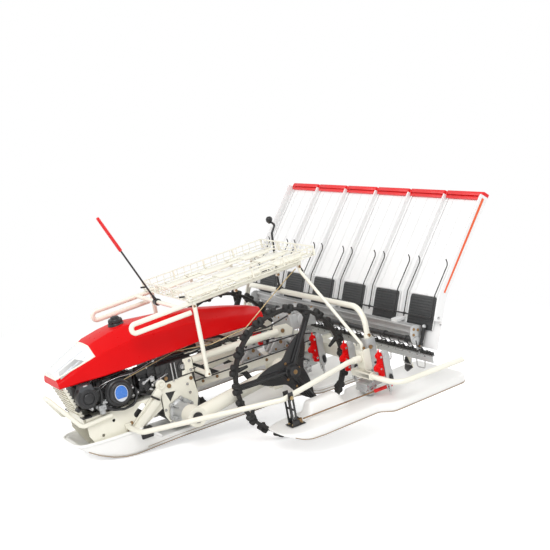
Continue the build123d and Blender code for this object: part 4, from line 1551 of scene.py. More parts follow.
    def _cap(self) -> None:
        """Builds the filler cap on its collar."""
        y, z = self.filler
        profile = [(0, 0), (0, 40), (10, 38), (14, 36), (14, 0)]
        collar = Form().turned(profile, (0, y, z), UP, 40)
        collar.piece("filler_collar", PAINT.black_plastic)
        cap = Form().turned(
            [(0, 0), (0, 31), (4, 33), (16, 33), (20, 30), (22, 22), (29, 20), (31, 17), (31, 0)],
            (0, y, z + 13), UP, 40,
        )
        for index in range(12):
            turn = math.tau * index / 12
            out = Vector((math.cos(turn), math.sin(turn), 0))
            cap.rod(
                Vector((0, y, z + 15)) + out * 32, Vector((0, y, z + 30)) + out * 31, 4.2, 3.4, 10, 1.0
            )
        cap.box((-19, y - 4, z + 35), (19, y + 4, z + 44), 2)
        cap.piece("filler_cap", PAINT.black_plastic, CHASSIS, ("fuel_cap",))


@dataclass
class EngineSide:
    """The engine with its starter, air cleaner, hoses and small parts.

    Args:
        starter: (Y, Z) of the recoil starter.
        cleaner: (Y, Z) of the air cleaner.
        face: X that both stand on.
    """

    starter: tuple[float, float] = (-810.0, 435.0)
    cleaner: tuple[float, float] = (-965.0, 455.0)
    face: float = 105.6

    def build(self) -> None:
        """Builds every part of the engine."""
        self._starter()
        self._cleaner()
        self._block()
        self._hoses()
        self._rear_clutter()

    def _starter(self) -> None:
        """Builds the stepped shroud of the recoil starter with its rings, which are painted highlights
        on its steps, its badge and screws.
        """
        y, z = self.starter
        shroud = Form().turned([
            (0, 0), (0, 76), (2, 78), (20, 78), (24, 75), (26, 71), (44, 70), (48, 67), (49, 62),
            (52, 61), (53, 64), (57, 64), (60, 61), (62, 57), (68, 55), (72, 53), (75, 50),
            (76.4, 46), (77, 0),
        ], (self.face, y, z), LEFT, 72)
        for angle in range(150, 150 + 14 * 16, 16):
            turn = Matrix.Rotation(math.radians(angle), 4, "X")
            shroud.block(on_circle(146, self.starter, 71, angle), (9, 3.4, 1.6), 1.0, turn)
        shroud.ball((128, y + 40, z + 70), (20, 26, 14))
        shroud.box((106, y - 66, z + 50), (138, y - 14, z + 78), 8)
        shroud.piece("starter_shroud", PAINT.black_plastic, CHASSIS, ("recoil_starter",))
        # The thin grey rings on the black shroud's steps are painted highlights.
        ring = Form().ring((164.5, y, z), LEFT, 57.5, 1.3, 64)
        ring.ring((182.0, y, z), LEFT, 46.5, 1.0, 56)
        ring.piece("starter_highlight_rings", PAINT.grey_plastic)
        self._badge()
        screws = Form()
        for angle, away in ((118, 74), (2, 73), (235, 74), (300, 72)):
            screws.bolt(on_circle(126, self.starter, away, angle), LEFT, 6.0)
        screws.pin(126, 150, (y - 32, z + 66), 6.5, 5.0, 16, 1)
        screws.pin(126, 158, (y + 71, z + 2), 6.0, 5.0, 16, 1)
        screws.piece("starter_screws", PAINT.steel)

    def _badge(self) -> None:
        """Builds the oval badge on the starter: a blue field that leaves a pale crescent."""
        y, z = self.starter
        turns = [math.tau * index / 40 for index in range(40)]
        oval = [(182.2, y + 33 * math.cos(t), z + 40 * math.sin(t)) for t in turns]
        Form().slab(oval, (2.6, 0, 0), 0.8).piece("badge_rim", PAINT.pale)
        turns = [math.radians(-42 + 264 * index / 39) for index in range(40)]
        inner = [(184.4, y + 30 * math.cos(t), z + 1 + 36.5 * math.sin(t)) for t in turns]
        Form().slab(inner, (1.2, 0, 0), 0.4).piece("badge_field", PAINT.blue)

    def _cleaner(self) -> None:
        """Builds the drop-shaped air cleaner."""
        y, z = self.cleaner
        drop = [on_circle(self.face, self.cleaner, 53, 142 + index * 6.4) for index in range(41)]
        drop += [(self.face, y + 34, z + 50), (self.face, y - 32, z + 50)]
        body = Form().slab(drop, (58, 0, 0), 9)
        body.turned([
            (50, 0), (50, 44), (60, 43), (64, 38), (65, 30), (61, 28), (61, 24), (66, 23), (70, 18),
            (71, 0),
        ], (self.face, y, z - 1), LEFT, 56)
        body.ring((167, y, z - 1), LEFT, 41, 1.6, 56)
        body.ball((150, y + 38, z + 32), (9, 7, 8))
        turn = Matrix.Rotation(0.7, 4, "X")
        body.box((110, y - 58, z - 60), (134, y - 38, z - 40), 4, turn)
        body.piece("cleaner_body", PAINT.black_plastic, CHASSIS, ("air_cleaner",))
        neck = [(y - 35, z + 34), (y + 37, z + 30), (y + 30, z + 62), (y - 28, z + 64)]
        Form().side_plate(neck, 112, 166, 6).piece("cleaner_neck", PAINT.grey_plastic)
        clips = Form().boxes(
            ((160, y - 14, z + 58), (168, y + 8, z + 66), 2),
            ((150, y + 4, z - 62), (164, y + 14, z - 48), 2),
        )
        clips.rod((150, y - 4, z - 50), (150, y + 12, z - 66), 3.2, 3.2, 12, 0.8)
        clips.piece("cleaner_clips", PAINT.steel)

    def _block(self) -> None:
        """Builds the fins, covers and bolts of the engine block."""
        block = Form().box((-116, -936, 353), (68, -700, 492), 8)
        for index in range(9):
            block.box((-88, -984 + index * 6.4, 386), (86, -980.6 + index * 6.4, 488), 1)
        for index in range(7):
            block.box((70, -930 + index * 12, 470), (102, -925 + index * 12, 506), 1)
        cover = [(0, 0), (0, 96), (6, 98), (32, 96), (36, 90), (36, 0)]
        block.turned(cover, (69, -810, 439), LEFT, 56)
        block.box((-162, -926, 402), (-122, -764, 494), 8)
        for y in range(-918, -789, 32):
            block.box((-164, y, 412), (-158, y + 18, 486), 2)
        block.boxes(((60, -962, 424), (103, -906, 478), 5), ((-60, -696, 360), (70, -640, 470), 10))
        block.rod((30, -700, 430), (30, -606, 430), 40, 34, 32, 4)
        block.piece("engine_block", PAINT.dark_cast, CHASSIS, ("engine",))
        bolts = Form().bolts(69, [
            (-900, 372), (-860, 366), (-760, 366), (-716, 372), (-712, 470), (-905, 500), (-720, 500),
        ], 6)
        bolts.bolts(-162, [(-900, 408), (-850, 408), (-800, 408)], 5, -1)
        bolts.piece("engine_bolts", PAINT.steel)
        self._carburettor()

    def _carburettor(self) -> None:
        """Builds the carburettor under the starter."""
        form = Form().box((112, -920, 372), (152, -882, 398), 5)
        form.rod((132, -900, 352), (132, -900, 384), 15, 17, 24, 3)
        form.rod((124, -926, 392), (124, -870, 380), 9, 9, 20, 2)
        form.ball((140, -890, 406), (10, 12, 10))
        form.rod((146, -912, 366), (146, -884, 414), 3, 3, 12)
        form.box((120, -884, 400), (150, -872, 420), 2)
        form.bolt((152, -906, 388), LEFT, 4.5).bolt((152, -892, 380), LEFT, 4)
        form.piece("carburettor", PAINT.cast)

    def _hoses(self) -> None:
        """Builds the hoses and the throttle cables round the starter."""
        hoses = Form()
        for radius, bend, route in (
            (5.4, 26, [(150, -925, 492), (156, -902, 490), (158, -896, 455), (152, -900, 420),
                       (140, -905, 396)]),
            (5.6, 40, [(146, -884, 384), (158, -850, 362), (160, -800, 350), (158, -748, 356),
                       (150, -724, 392), (140, -722, 430)]),
            (6.4, 40, [(120, -884, 374), (140, -846, 356), (146, -800, 346), (140, -744, 352),
                       (120, -716, 376)]),
            (6.0, 40, [(100, -880, 505), (130, -842, 516), (128, -780, 520), (110, -720, 500),
                       (90, -690, 470)]),
        ):
            hoses.tube(route, radius, bend, 4)
        hoses.piece("engine_hoses", PAINT.black_plastic)
        cables = Form().tube([
            (122, -905, 478), (150, -868, 498), (158, -800, 508), (140, -716, 500),
            (120, -640, 512), (100, -520, 540),
        ], 2.6, 60)
        cables.tube([(120, -930, 452), (134, -894, 470), (150, -860, 492)], 1.8, 20)
        cables.tube([(70, -560, 330), (74, -566, 460), (60, -560, 530)], 2.6, 20)
        cables.piece("throttle_cable", PAINT.steel)
        link = Form().rod((156, -782, 486), (104, -470, 530), 2.6)
        link.rod((104, -470, 530), (96, -300, 545), 2.6)
        link.piece("brass_link", PAINT.brass)

    def _rear_clutter(self) -> None:
        """Builds the linkage between the engine and the gearbox: pulley, springs and levers."""
        self._dark_linkage()
        self._bright_linkage()
        pulley = Form().turned([
            (0, 0), (0, 25), (3, 26), (9, 26), (12, 23), (12, 16), (9, 14), (9, 8), (14, 7), (14, 0),
        ], (122, -590, 398), LEFT, 36)
        pulley.piece("idler", PAINT.cream)

    def _dark_linkage(self) -> None:
        """Builds the black housings, bosses and hoses of the linkage."""
        dark = Form().boxes(
            ((40, -690, 386), (104, -628, 470), 6),
            ((70, -628, 392), (98, -574, 470), 5),
            ((96, -640, 450), (116, -596, 500), 4),
            ((88, -700, 470), (120, -640, 512), 5),
        )
        dark.box((90, -668, 388), (112, -632, 412), 3, Matrix.Rotation(0.5, 4, "X"))
        dark.ball((108, -612, 486), (12, 20, 14))
        for x_from, x_to, place, radius, tip, sides, soft in (
            (60, 114, (-706, 396), 17, 15, 24, 3), (100, 118, (-640, 500), 15, 13, 22, 2),
            (80, 112, (-600, 520), 20, 18, 26, 3), (90, 118, (-668, 430), 26, 24, 28, 2),
        ):
            dark.pin(x_from, x_to, place, radius, tip, sides, soft)
        dark.tubes(
            4.2, 30, [(108, -700, 506), (120, -650, 520), (110, -590, 500), (100, -560, 470)],
            [(104, -690, 380), (118, -650, 366), (112, -600, 372), (104, -570, 400)],
        )
        dark.tube([(110, -640, 480), (122, -600, 446), (118, -560, 452), (104, -520, 470)], 3.6, 26)
        dark.piece("linkage_dark", PAINT.black_plastic)

    def _bright_linkage(self) -> None:
        """Builds the screws, levers, rods and the spring of the linkage."""
        bright = Form()
        for y, z, size in (
            (-686, 452, 3.4), (-640, 500, 4.6), (-668, 430, 6.0), (-706, 396, 4.4), (-600, 520, 5.0),
        ):
            bright.bolt((118, y, z), LEFT, size)
        lever = [(-668, 424), (-664, 436), (-622, 456), (-618, 446)]
        bright.side_plate(lever, 119, 122, 0.8)
        lever = [(-648, 392), (-638, 398), (-616, 380), (-622, 372)]
        bright.side_plate(lever, 116, 119, 0.8)
        bright.rod((118, -620, 414), (124, -540, 440), 3.4, 3.4, 14)
        bright.rod((116, -566, 388), (116, -566, 470), 3.4, 3.4, 14)
        bright.rod((110, -552, 384), (110, -552, 474), 3.4, 3.4, 14)
        for index in range(16):
            coil = (118 + index * 0.3, -616 + index * 4.6, 416 + index * 1.5)
            bright.ring(coil, (0, 1, 0.3), 5.4, 1.3, 12)
        bright.box((108, -634, 424), (124, -610, 450), 3)
        bright.ball((122, -626, 408), (7, 9, 9))
        bright.piece("linkage_bright", PAINT.steel)


@dataclass
class FrontFrame:
    """The plates, struts and castings that join the bow, the engine and the gearbox.

    Args:
        half: Half width over the side plates.
        shaft: (Y, Z) of the swing arms' shaft.
    """

    half: float = 122.0
    shaft: tuple[float, float] = (-512.0, 245.0)

    def build(self) -> None:
        """Builds the frame's dressing."""
        self._strut()
        self._gearbox()
        self._castings()
        self._panel()
        self._fixings()

    def _strut(self) -> None:
        """Builds the wide folded strut on each side and its black stirrup."""
        half = self.half
        strut = Form().side_plate([
            (-812, 214), (-806, 190), (-780, 184), (-602, 322), (-596, 352), (-614, 366), (-652, 352),
        ], half + 0.6, half + 6, 1.2)
        outer = [(-806, 214), (-778, 190), (-610, 322), (-632, 352)]
        strut.side_plate(outer, half + 4, half + 26, 3)
        strut.box((half + 1, -640, 344), (half + 24, -596, 384), 4, Matrix.Rotation(0.7, 4, "X"))
        strut.rod((half + 4, -606, 352), (half + 4, -590, 386), 9, 8, 16, 2)
        strut.mirrored().piece("folded_struts", PAINT.cream, CHASSIS, ("frame_braces",))
        black = Form()
        black.tube([(half + 26, -654, 362), (half + 29, -622, 338), (half + 18, -614, 330)], 4.6, 8)
        black.box((half + 2, -744, 172), (half + 34, -682, 226), 6)
        black.box((half - 60, -736, 182), (half + 2, -690, 214), 5)
        black.mirrored().piece("rubber_blocks", PAINT.black_plastic)

    def _gearbox(self) -> None:
        """Builds the gearbox with its ribs, its cream cover and its bolts."""
        half = self.half
        case = Form().side_plate([
            (-597.6, 232), (-556, 190.4), (-442, 190.4), (-400.4, 232), (-400.4, 489.6),
            (-597.6, 489.6),
        ], -half + 0.4, half - 0.4, 6)
        for sign in (1, -1):
            for y in range(-572, -427, 36):
                case.block(Vector((sign * (half + 1), y, 447)), (3, 3, 39), 1.5)
            case.pin(sign * 90, sign * 129, (-460, 452), 27, 24, 36, 3)
            case.pin(sign * 90, sign * 127, (-540, 446), 19, 17, 30, 2.5)
        case.piece("gearbox_case", PAINT.dark_cast, CHASSIS, ("gearbox",))
        cover = Form()
        cover.side_plate([(-470, 410), (-404, 410), (-404, 486), (-452, 486)], half + 3, half + 7, 1.5)
        cover.rod((half + 4, -444, 414), (half + 4, -444, 484), 7, 7, 20, 1.5)
        cover.mirrored().piece("gearbox_cover", PAINT.cream)
        rods = Form().rod((half + 12, -520, 396), (half + 12, -520, 488), 4, 4, 16)
        rods.rod((half + 10, -500, 400), (half + 10, -500, 486), 3, 3, 14)
        rods.bolts(half + 7, [(-420, 470), (-420, 424)], 5.5)
        rods.bolt((129, -460, 452), LEFT, 9)
        rods.mirrored().piece("gearbox_rods", PAINT.steel)

    def _castings(self) -> None:
        """Builds the bearing housings of the swing arms."""
        y, z = self.shaft
        cast = Form().turned([
            (0, 0), (0, 60), (5, 62), (12, 61), (15, 54), (19, 49), (26, 47), (30, 45), (104, 44),
            (108, 42), (108, 0),
        ], (128.4, y, z), LEFT, 56)
        bolts = Form()
        for angle in range(20, 380, 60):
            lobe = on_circle(0, self.shaft, 58, angle)
            cast.pin(128.4, 146, lobe.yz, 13, 11, 20, 2)
            bolts.bolts(146, [lobe.yz], 6.4)
        for angle in (75, 135, 195):
            rib = on_circle(163, self.shaft, 50, angle)
            cast.block(rib, (23, 11, 3), 2, Matrix.Rotation(math.radians(angle), 4, "X"))
        ear = [(y + 34, z - 44), (y + 62, z - 52), (y + 74, z - 30), (y + 60, z + 8), (y + 44, z + 22)]
        cast.side_plate(ear, 130, 148, 3)
        cast.mirrored().piece("bearing_castings", PAINT.cast, CHASSIS, ("axle_housings",))
        bolts.mirrored().piece("bearing_bolts", PAINT.steel)
        profile = [(0, 0), (0, 26), (4, 26), (6, 20), (7, 0)]
        seal = Form().turned(profile, (319, y, z), LEFT, 36)
        profile = [(0, 0), (0, 22), (4, 22), (5, 16), (7, 0)]
        seal.turned(profile, (232, y, z), LEFT, 36)
        seal.mirrored().piece("arm_seals", PAINT.black_plastic)

    def _panel(self) -> None:
        """Builds the louvres on the front panel."""
        louvres = Form()
        lean = Matrix.Rotation(math.atan2(61, 170), 4, "X")
        for index in range(9):
            t = (index + 0.7) / 9.6
            y, z = -988 - 60 * t, 352 + 166 * t
            louvres.box((-84, y - 13, z - 3), (84, y - 5, z + 4), 2.4, lean)
            louvres.box((100, y - 6, z - 5), (106, y + 8, z + 6), 1.6, lean)
        louvres.piece("panel_louvres", PAINT.cream)

    def _fixings(self) -> None:
        """Builds the bolts, hooks and clips on the side plates, and the black pieces that paint the
        shade in their holes.
        """
        half = self.half
        brown = Form().bolts(half + 0.3, [(-778, 240), (-770, 262)], 6.5)
        brown.rod((half + 4, -796, 226), (half + 4, -770, 262), 3.4, 3.4, 12)
        brown.bolts(half + 8, [(-548, 380)], 8)
        brown.bolts(half + 8, [(-556, 420), (-428, 384), (-430, 212)], 7)
        brown.mirrored().piece("frame_bolts_brown", PAINT.zinc)
        small = Form()
        small.bolts(half + 6.4, [(-452, 360), (-446, 316), (-588, 268), (-570, 200), (-480, 176)], 5)
        small.box((half + 1, -792, 176), (half + 9, -780, 232), 2)
        small.mirrored().piece("frame_bolts", PAINT.steel)
        # The black discs, strip and sheet fill holes and gaps in the plates with painted shade.
        dark = Form().box((half - 40, -1000, 351), (half + 6, -952, 358), 2)
        window = [(-800, 230), (-770, 214), (-700, 300), (-740, 336)]
        dark.side_plate(window, half - 9, half - 11, 1)
        dark.pin(half + 24, half + 27, (-770, 210), 5, 5, 14)
        dark.pin(half + 4, half + 9, (-590, 420), 5, 5, 14)
        dark.mirrored().piece("frame_hole_shade", PAINT.black_plastic)


@dataclass
class PlantingUnit:
    """The six planting arms, their cases and the guide that the tray slides on.

    Args:
        rows: X of each planting arm.
        cases: X of each planting case.
        half: Half length of the guide.
        pivots: (Y, Z) of the three bearings of an arm's cover.
        drive: (Y, Z) of a case's drive shaft.
        arm_shaft: (Y, Z) of the shaft that carries the arms.
        feed: (Y, Z) of the feed shaft under the guide.
        gate_from: X of the first gate.
        gate_step: Distance between gates.
        gates: Number of gates.
    """

    rows: tuple[float, ...] = (-750.0, -450.0, -150.0, 150.0, 450.0, 750.0)
    cases: tuple[float, ...] = (-600.0, 0.0, 600.0)
    half: float = 790.0
    pivots: tuple[tuple[float, float], ...] = ((264, 384), (254, 329), (263, 286))
    drive: tuple[float, float] = (260, 208)
    arm_shaft: tuple[float, float] = (300, 262)
    feed: tuple[float, float] = (455, 412)
    gate_from: float = -862.0
    gate_step: float = 75.0
    gates: int = 24

    def build(self) -> None:
        """Builds the arms, the cases and the guide."""
        for index, x in enumerate(self.rows, start=1):
            self._arm(index, x)
        for index, x in enumerate(self.cases, start=1):
            self._case(index, x)
        self._guide()
        self._gates()
        self._lower_rail()
        self._feed_case()

    def _arm(self, index: int, x: float) -> None:
        """Builds one planting arm with its red cover and fork.

        Args:
            index: Number of the row.
            x: The row's X.
        """
        stands = ("planting_arms", "arm_covers") if index == 1 else ()
        cover = Form().side_plate([
            (277, 262), (277, 402), (263, 404), (254, 396), (249, 382), (256, 368), (252, 352),
            (240, 344), (234, 330), (240, 314), (252, 308), (253, 264),
        ], x - 12, x + 12, 4)
        fork = Form()
        for pivot, radius, wide in zip(self.pivots, (13, 17, 12), (16, 18, 15)):
            cover.pin(x - wide, x + wide, pivot, radius, radius, 24, 3)
            for sign in (1, -1):
                cover.ball((x + sign * wide, *pivot), (4, radius * 0.6, radius * 0.6))
                fork.bolts(x + sign * 20, [pivot], 4.2, sign)
        cover.rod((x, 264, 400), (x, 268, 418), 6, 2.4, 16, 1)
        cover.ball((x, 236, 330), (11, 9, 14))
        cover.piece(f"arm_cover_{index}", PAINT.red, CHASSIS, stands[1:])
        arm = Form().side_plate([
            (277.4, 396), (297, 408), (312, 398), (319, 372), (314, 330), (321, 288), (321, 250),
            (305, 232), (292, 236), (279, 262),
        ], x - 13, x + 13, 3.5)
        arm.pin(x - 16, x + 16, (296, 378), 12, 12, 24, 2)
        arm.pin(x - 16, x + 16, (302, 262), 14, 14, 24, 2)
        arm.rod((x - 6, 288, 240), (x - 6, 290, 214), 3.4, 2.6, 12)
        arm.piece(f"arm_casting_{index}", PAINT.cast, CHASSIS, stands[:1])
        for side in (-5, 5):
            fork.box((x + side - 1.2, 294, 200), (x + side + 1.2, 304, 250), 0.8)
            fork.rod((x + side, 299, 202), (x + side, 296, 186), 1.9, 0.7, 10)
        fork.box((x - 8, 290, 232), (x + 8, 306, 242), 2)
        fork.piece(f"arm_fork_{index}", PAINT.steel)
        cap = Form()
        for sign in (1, -1):
            cap.ball((x + sign * 17, 304, 268), (7, 11, 22))
        cap.rod((x - 16, 262, 356), (x - 18, 248, 356), 6, 6, 14, 1)
        cap.piece(f"arm_boot_{index}", PAINT.black_plastic)

    def _case(self, index: int, x: float) -> None:
        """Builds the column, gear case and bolts of one planting case.

        Args:
            index: Number of the case.
            x: The case's X.
        """
        case = Form()
        bolts = Form()
        case.box((x - 25, 290.4, 206), (x + 25, 339.6, 440), 4)
        case.box((x - 31, 256, 198), (x + 31, 296, 238), 7)
        case.pin(x - 44, x + 44, self.drive, 29, 29, 36, 3)
        case.pin(x - 135.7, x + 135.7, self.arm_shaft, 13)
        case.pin(x - 66, x + 66, self.arm_shaft, 22, 22, 28, 3)
        for sign in (1, -1):
            case.pin(x + sign * 100, x + sign * 120, self.arm_shaft, 19, 19, 24, 2)
            case.ball((x + sign * 20, 276, 232), (16, 18, 16))
            bolts.bolts(x + sign * 25, [(315, 288), (315, 400)], 5.2, sign)
        for angle in range(15, 375, 60):
            lobe = on_circle(0, self.drive, 26, angle).yz
            case.pin(x - 46, x + 46, lobe, 8, 8, 16, 2)
            for sign in (1, -1):
                bolts.bolts(x + sign * 46, [lobe], 4.4, sign)
        for z in range(268, 421, 38):
            case.box((x - 27, 300, z - 2), (x + 27, 330, z + 2), 1)
        stands = ("planting_cases",) if index == 1 else ()
        case.piece(f"planting_case_{index}", PAINT.cast, CHASSIS, stands)
        bolts.pin(x + 44, x + 54, self.drive, 10, 9, 20, 1.5)
        bolts.piece(f"case_bolts_{index}", PAINT.steel)

    def _guide(self) -> None:
        """Builds the drawn channel, its end plates and the shaft under it."""
        channel = Form().side_plate([
            (500, 435), (500, 475), (486, 475), (486, 470), (482, 470), (482, 475), (472, 475),
            (470, 473), (470, 468), (473, 466), (473, 463), (478, 463), (478, 447), (473, 447),
            (473, 444), (470, 442), (470, 437), (472, 435),
        ], -self.half, self.half)
        channel.piece("guide_extrusion", PAINT.alloy, CHASSIS, ("guide_channel",), sharp=20)
        plate = [
            (436, 480), (458, 489), (478, 486), (490, 470), (492, 448), (481, 420), (480, 372),
            (474, 366), (456, 366), (452, 374), (452, 396), (438, 400), (430, 412), (428, 450),
        ]
        ends = Form()
        bolts = Form()
        for sign in (1, -1):
            ends.side_plate(plate, sign * self.half, sign * (self.half + 9), 2.4)
            ends.pin(sign * 792, sign * 806, self.feed, 22, 20, 32, 2)
            hook = [(sign * 796, 466, 372), (sign * 797, 463, 350), (sign * 797, 480, 340)]
            ends.tube(hook, 4, 10)
            bolts.bolts(sign * 799, [(450, 470), (472, 462), (444, 444), (466, 384)], 5.2, sign)
        ends.piece("guide_ends", PAINT.cast)
        bolts.piece("guide_bolts", PAINT.zinc)
        shaft = Form().pin(-self.half + 0.4, self.half - 0.4, self.feed, 14, 14, 32)
        for x in range(-720, 721, 180):
            shaft.pin(x - 9, x + 9, self.feed, 17.5, 17.5, 28, 2)
        shaft.pin(770, 789, self.feed, 18, 16, 28, 2)
        shaft.piece("guide_shaft", PAINT.black_paint, CHASSIS, ("feed_shaft",))

    def _gates(self) -> None:
        """Builds the seedling rail with its slanted teeth and tabs, the gate plates and hooks."""
        rail = Form().box((-900, 461.5, 352.3), (900, 473.6, 365.7), 1.2)
        for index in range(124):
            x = -893 + index * 14.5
            tooth = [(x, 352.6), (x + 5.5, 352.6), (x + 11.5, 365.4), (x + 6, 365.4)]
            rail.slab([(across, 461.8, z) for across, z in tooth], (0, -2.6, 0))
        gates = Form()
        hooks = Form()
        for index in range(self.gates):
            x = self.gate_from + index * self.gate_step
            rail.box((x - 13, 459, 364), (x + 13, 472, 370), 1.4)
            rail.box((x - 5, 458, 369), (x + 5, 466, 374), 1.2)
            gates.box((x - 10, 463, 366), (x + 10, 466.4, 377), 1)
            if index < self.gates - 1:
                route = [(463, 366), (462, 382), (446, 388), (436, 398), (434, 424)]
                hooks.tube([(x + self.gate_step / 2, y, z) for y, z in route], 2.6, 8)
                hooks.box((x + 26, 456, 366), (x + 40, 468, 376), 1.4)
        rail.piece("gate_rail", PAINT.black_paint, CHASSIS, ("seedling_rail",))
        gates.piece("gate_plates", PAINT.tray_white)
        hooks.piece("gate_hooks", PAINT.black_paint)

    def _lower_rail(self) -> None:
        """Builds the pressed lower rail, its bolts, wire loops and end boots."""
        rail = Form().boxes(
            ((-900, 460.3, 315.4), (900, 464, 351.7), 1.4),
            ((-900, 460.3, 346), (900, 475.6, 351.7), 1.4),
            ((-900, 457.6, 333), (900, 461, 339), 1.2),
        )
        rail.piece("rail_pressing", PAINT.cast, CHASSIS, ("lower_rail",))
        loops = Form()
        for x in (-800, -690, -520, -390, -210, -90, 90, 210, 390, 520, 690, 800):
            loop = [(x - 34, 462, 322), (x - 30, 458, 280), (x + 30, 458, 280), (x + 34, 462, 322)]
            loops.tube(loop, 3, 12)
        for x in range(-840, 841, 60):
            loops.bolt((x, 460.4, 343), AHEAD, 3.8)
        loops.piece("wire_loops", PAINT.steel)
        boots = Form()
        plates = Form()
        for x in (-651, 651):
            boot = [(x - 4, 474, 306), (x - 30, 478, 236), (x - 6, 474, 226), (x + 40, 474, 254)]
            boots.slab(boot, (0, 16, 0), 4)
            boots.bolt((x, 474, 288), AHEAD, 4)
            plate = [(x + 2, 484, 314), (x + 30, 484, 308), (x + 42, 484, 252), (x + 4, 484, 252)]
            plates.slab(plate, (0, 4, 0), 1)
        boots.piece("end_boots", PAINT.black_plastic)
        plates.piece("end_plates", PAINT.cream)

    def _feed_case(self) -> None:
        """Builds the cross-feed case."""
        case = Form().box((-95.6, 184, 442), (95.6, 338, 520), 10)
        case.box((-70, 196, 514), (70, 322, 538), 8)
        case.pin(-95.8, -88, (262, 484), 42, 42, 36, 2)
        case.pin(88, 104, (262, 484), 40, 36, 36, 3)
        for y in (198, 232, 290, 324):
            case.box((-94, y - 3, 450), (98, y + 3, 526), 2)
        for x in (-84, 84):
            for y in (194, 328):
                case.rod((x, y, 440.5), (x, y, 528), 11, 10, 20, 2)
        case.piece("cross_feed_case", PAINT.cast, CHASSIS, ("feed_case",))
        self._beam_castings()

    def _beam_castings(self) -> None:
        """Builds the castings on the drive beam, and the bolts of the beam and of the case."""
        lugs = Form()
        bolts = Form()
        for y in (-30, 134):
            lug = [(y - 72, 345.4), (y - 16, 412), (y + 10, 412), (y + 64, 345.4)]
            lugs.side_plate(lug, 16, 40, 5)
            lug = [(y - 60, 345.4), (y - 12, 404), (y + 6, 404), (y + 52, 345.4)]
            lugs.side_plate(lug, -36, -14, 5)
            lugs.pin(12, 48, (y, 392), 18, 15, 28, 3)
            lugs.pin(36, 46, (y - 34, 362), 13, 11, 24, 2)
            lugs.pin(36, 46, (y + 32, 362), 13, 11, 24, 2)
            lugs.box((30, y - 66, 346), (52, y + 58, 352), 2)
            bolts.bolts(48, [(y, 392)], 7).bolts(46, [(y - 34, 362), (y + 32, 362)], 5)
        lugs.pin(-40, 58, (210, 372), 27, 27, 36, 4)
        lugs.pin(-30, 70, (250, 352), 22, 20, 32, 4)
        lugs.piece("beam_castings", PAINT.cast)
        bolts.bolts(40, [(-330, 322), (-250, 322), (40, 322)], 6)
        for x in (-60, -20, 20, 60):
            bolts.bolt((x, 186, 500), AHEAD, 5)
        for x in (-84, 84):
            for y in (194, 328):
                bolts.bolt((x, y, 528), UP, 6)
        bolts.piece("beam_bolts", PAINT.zinc)


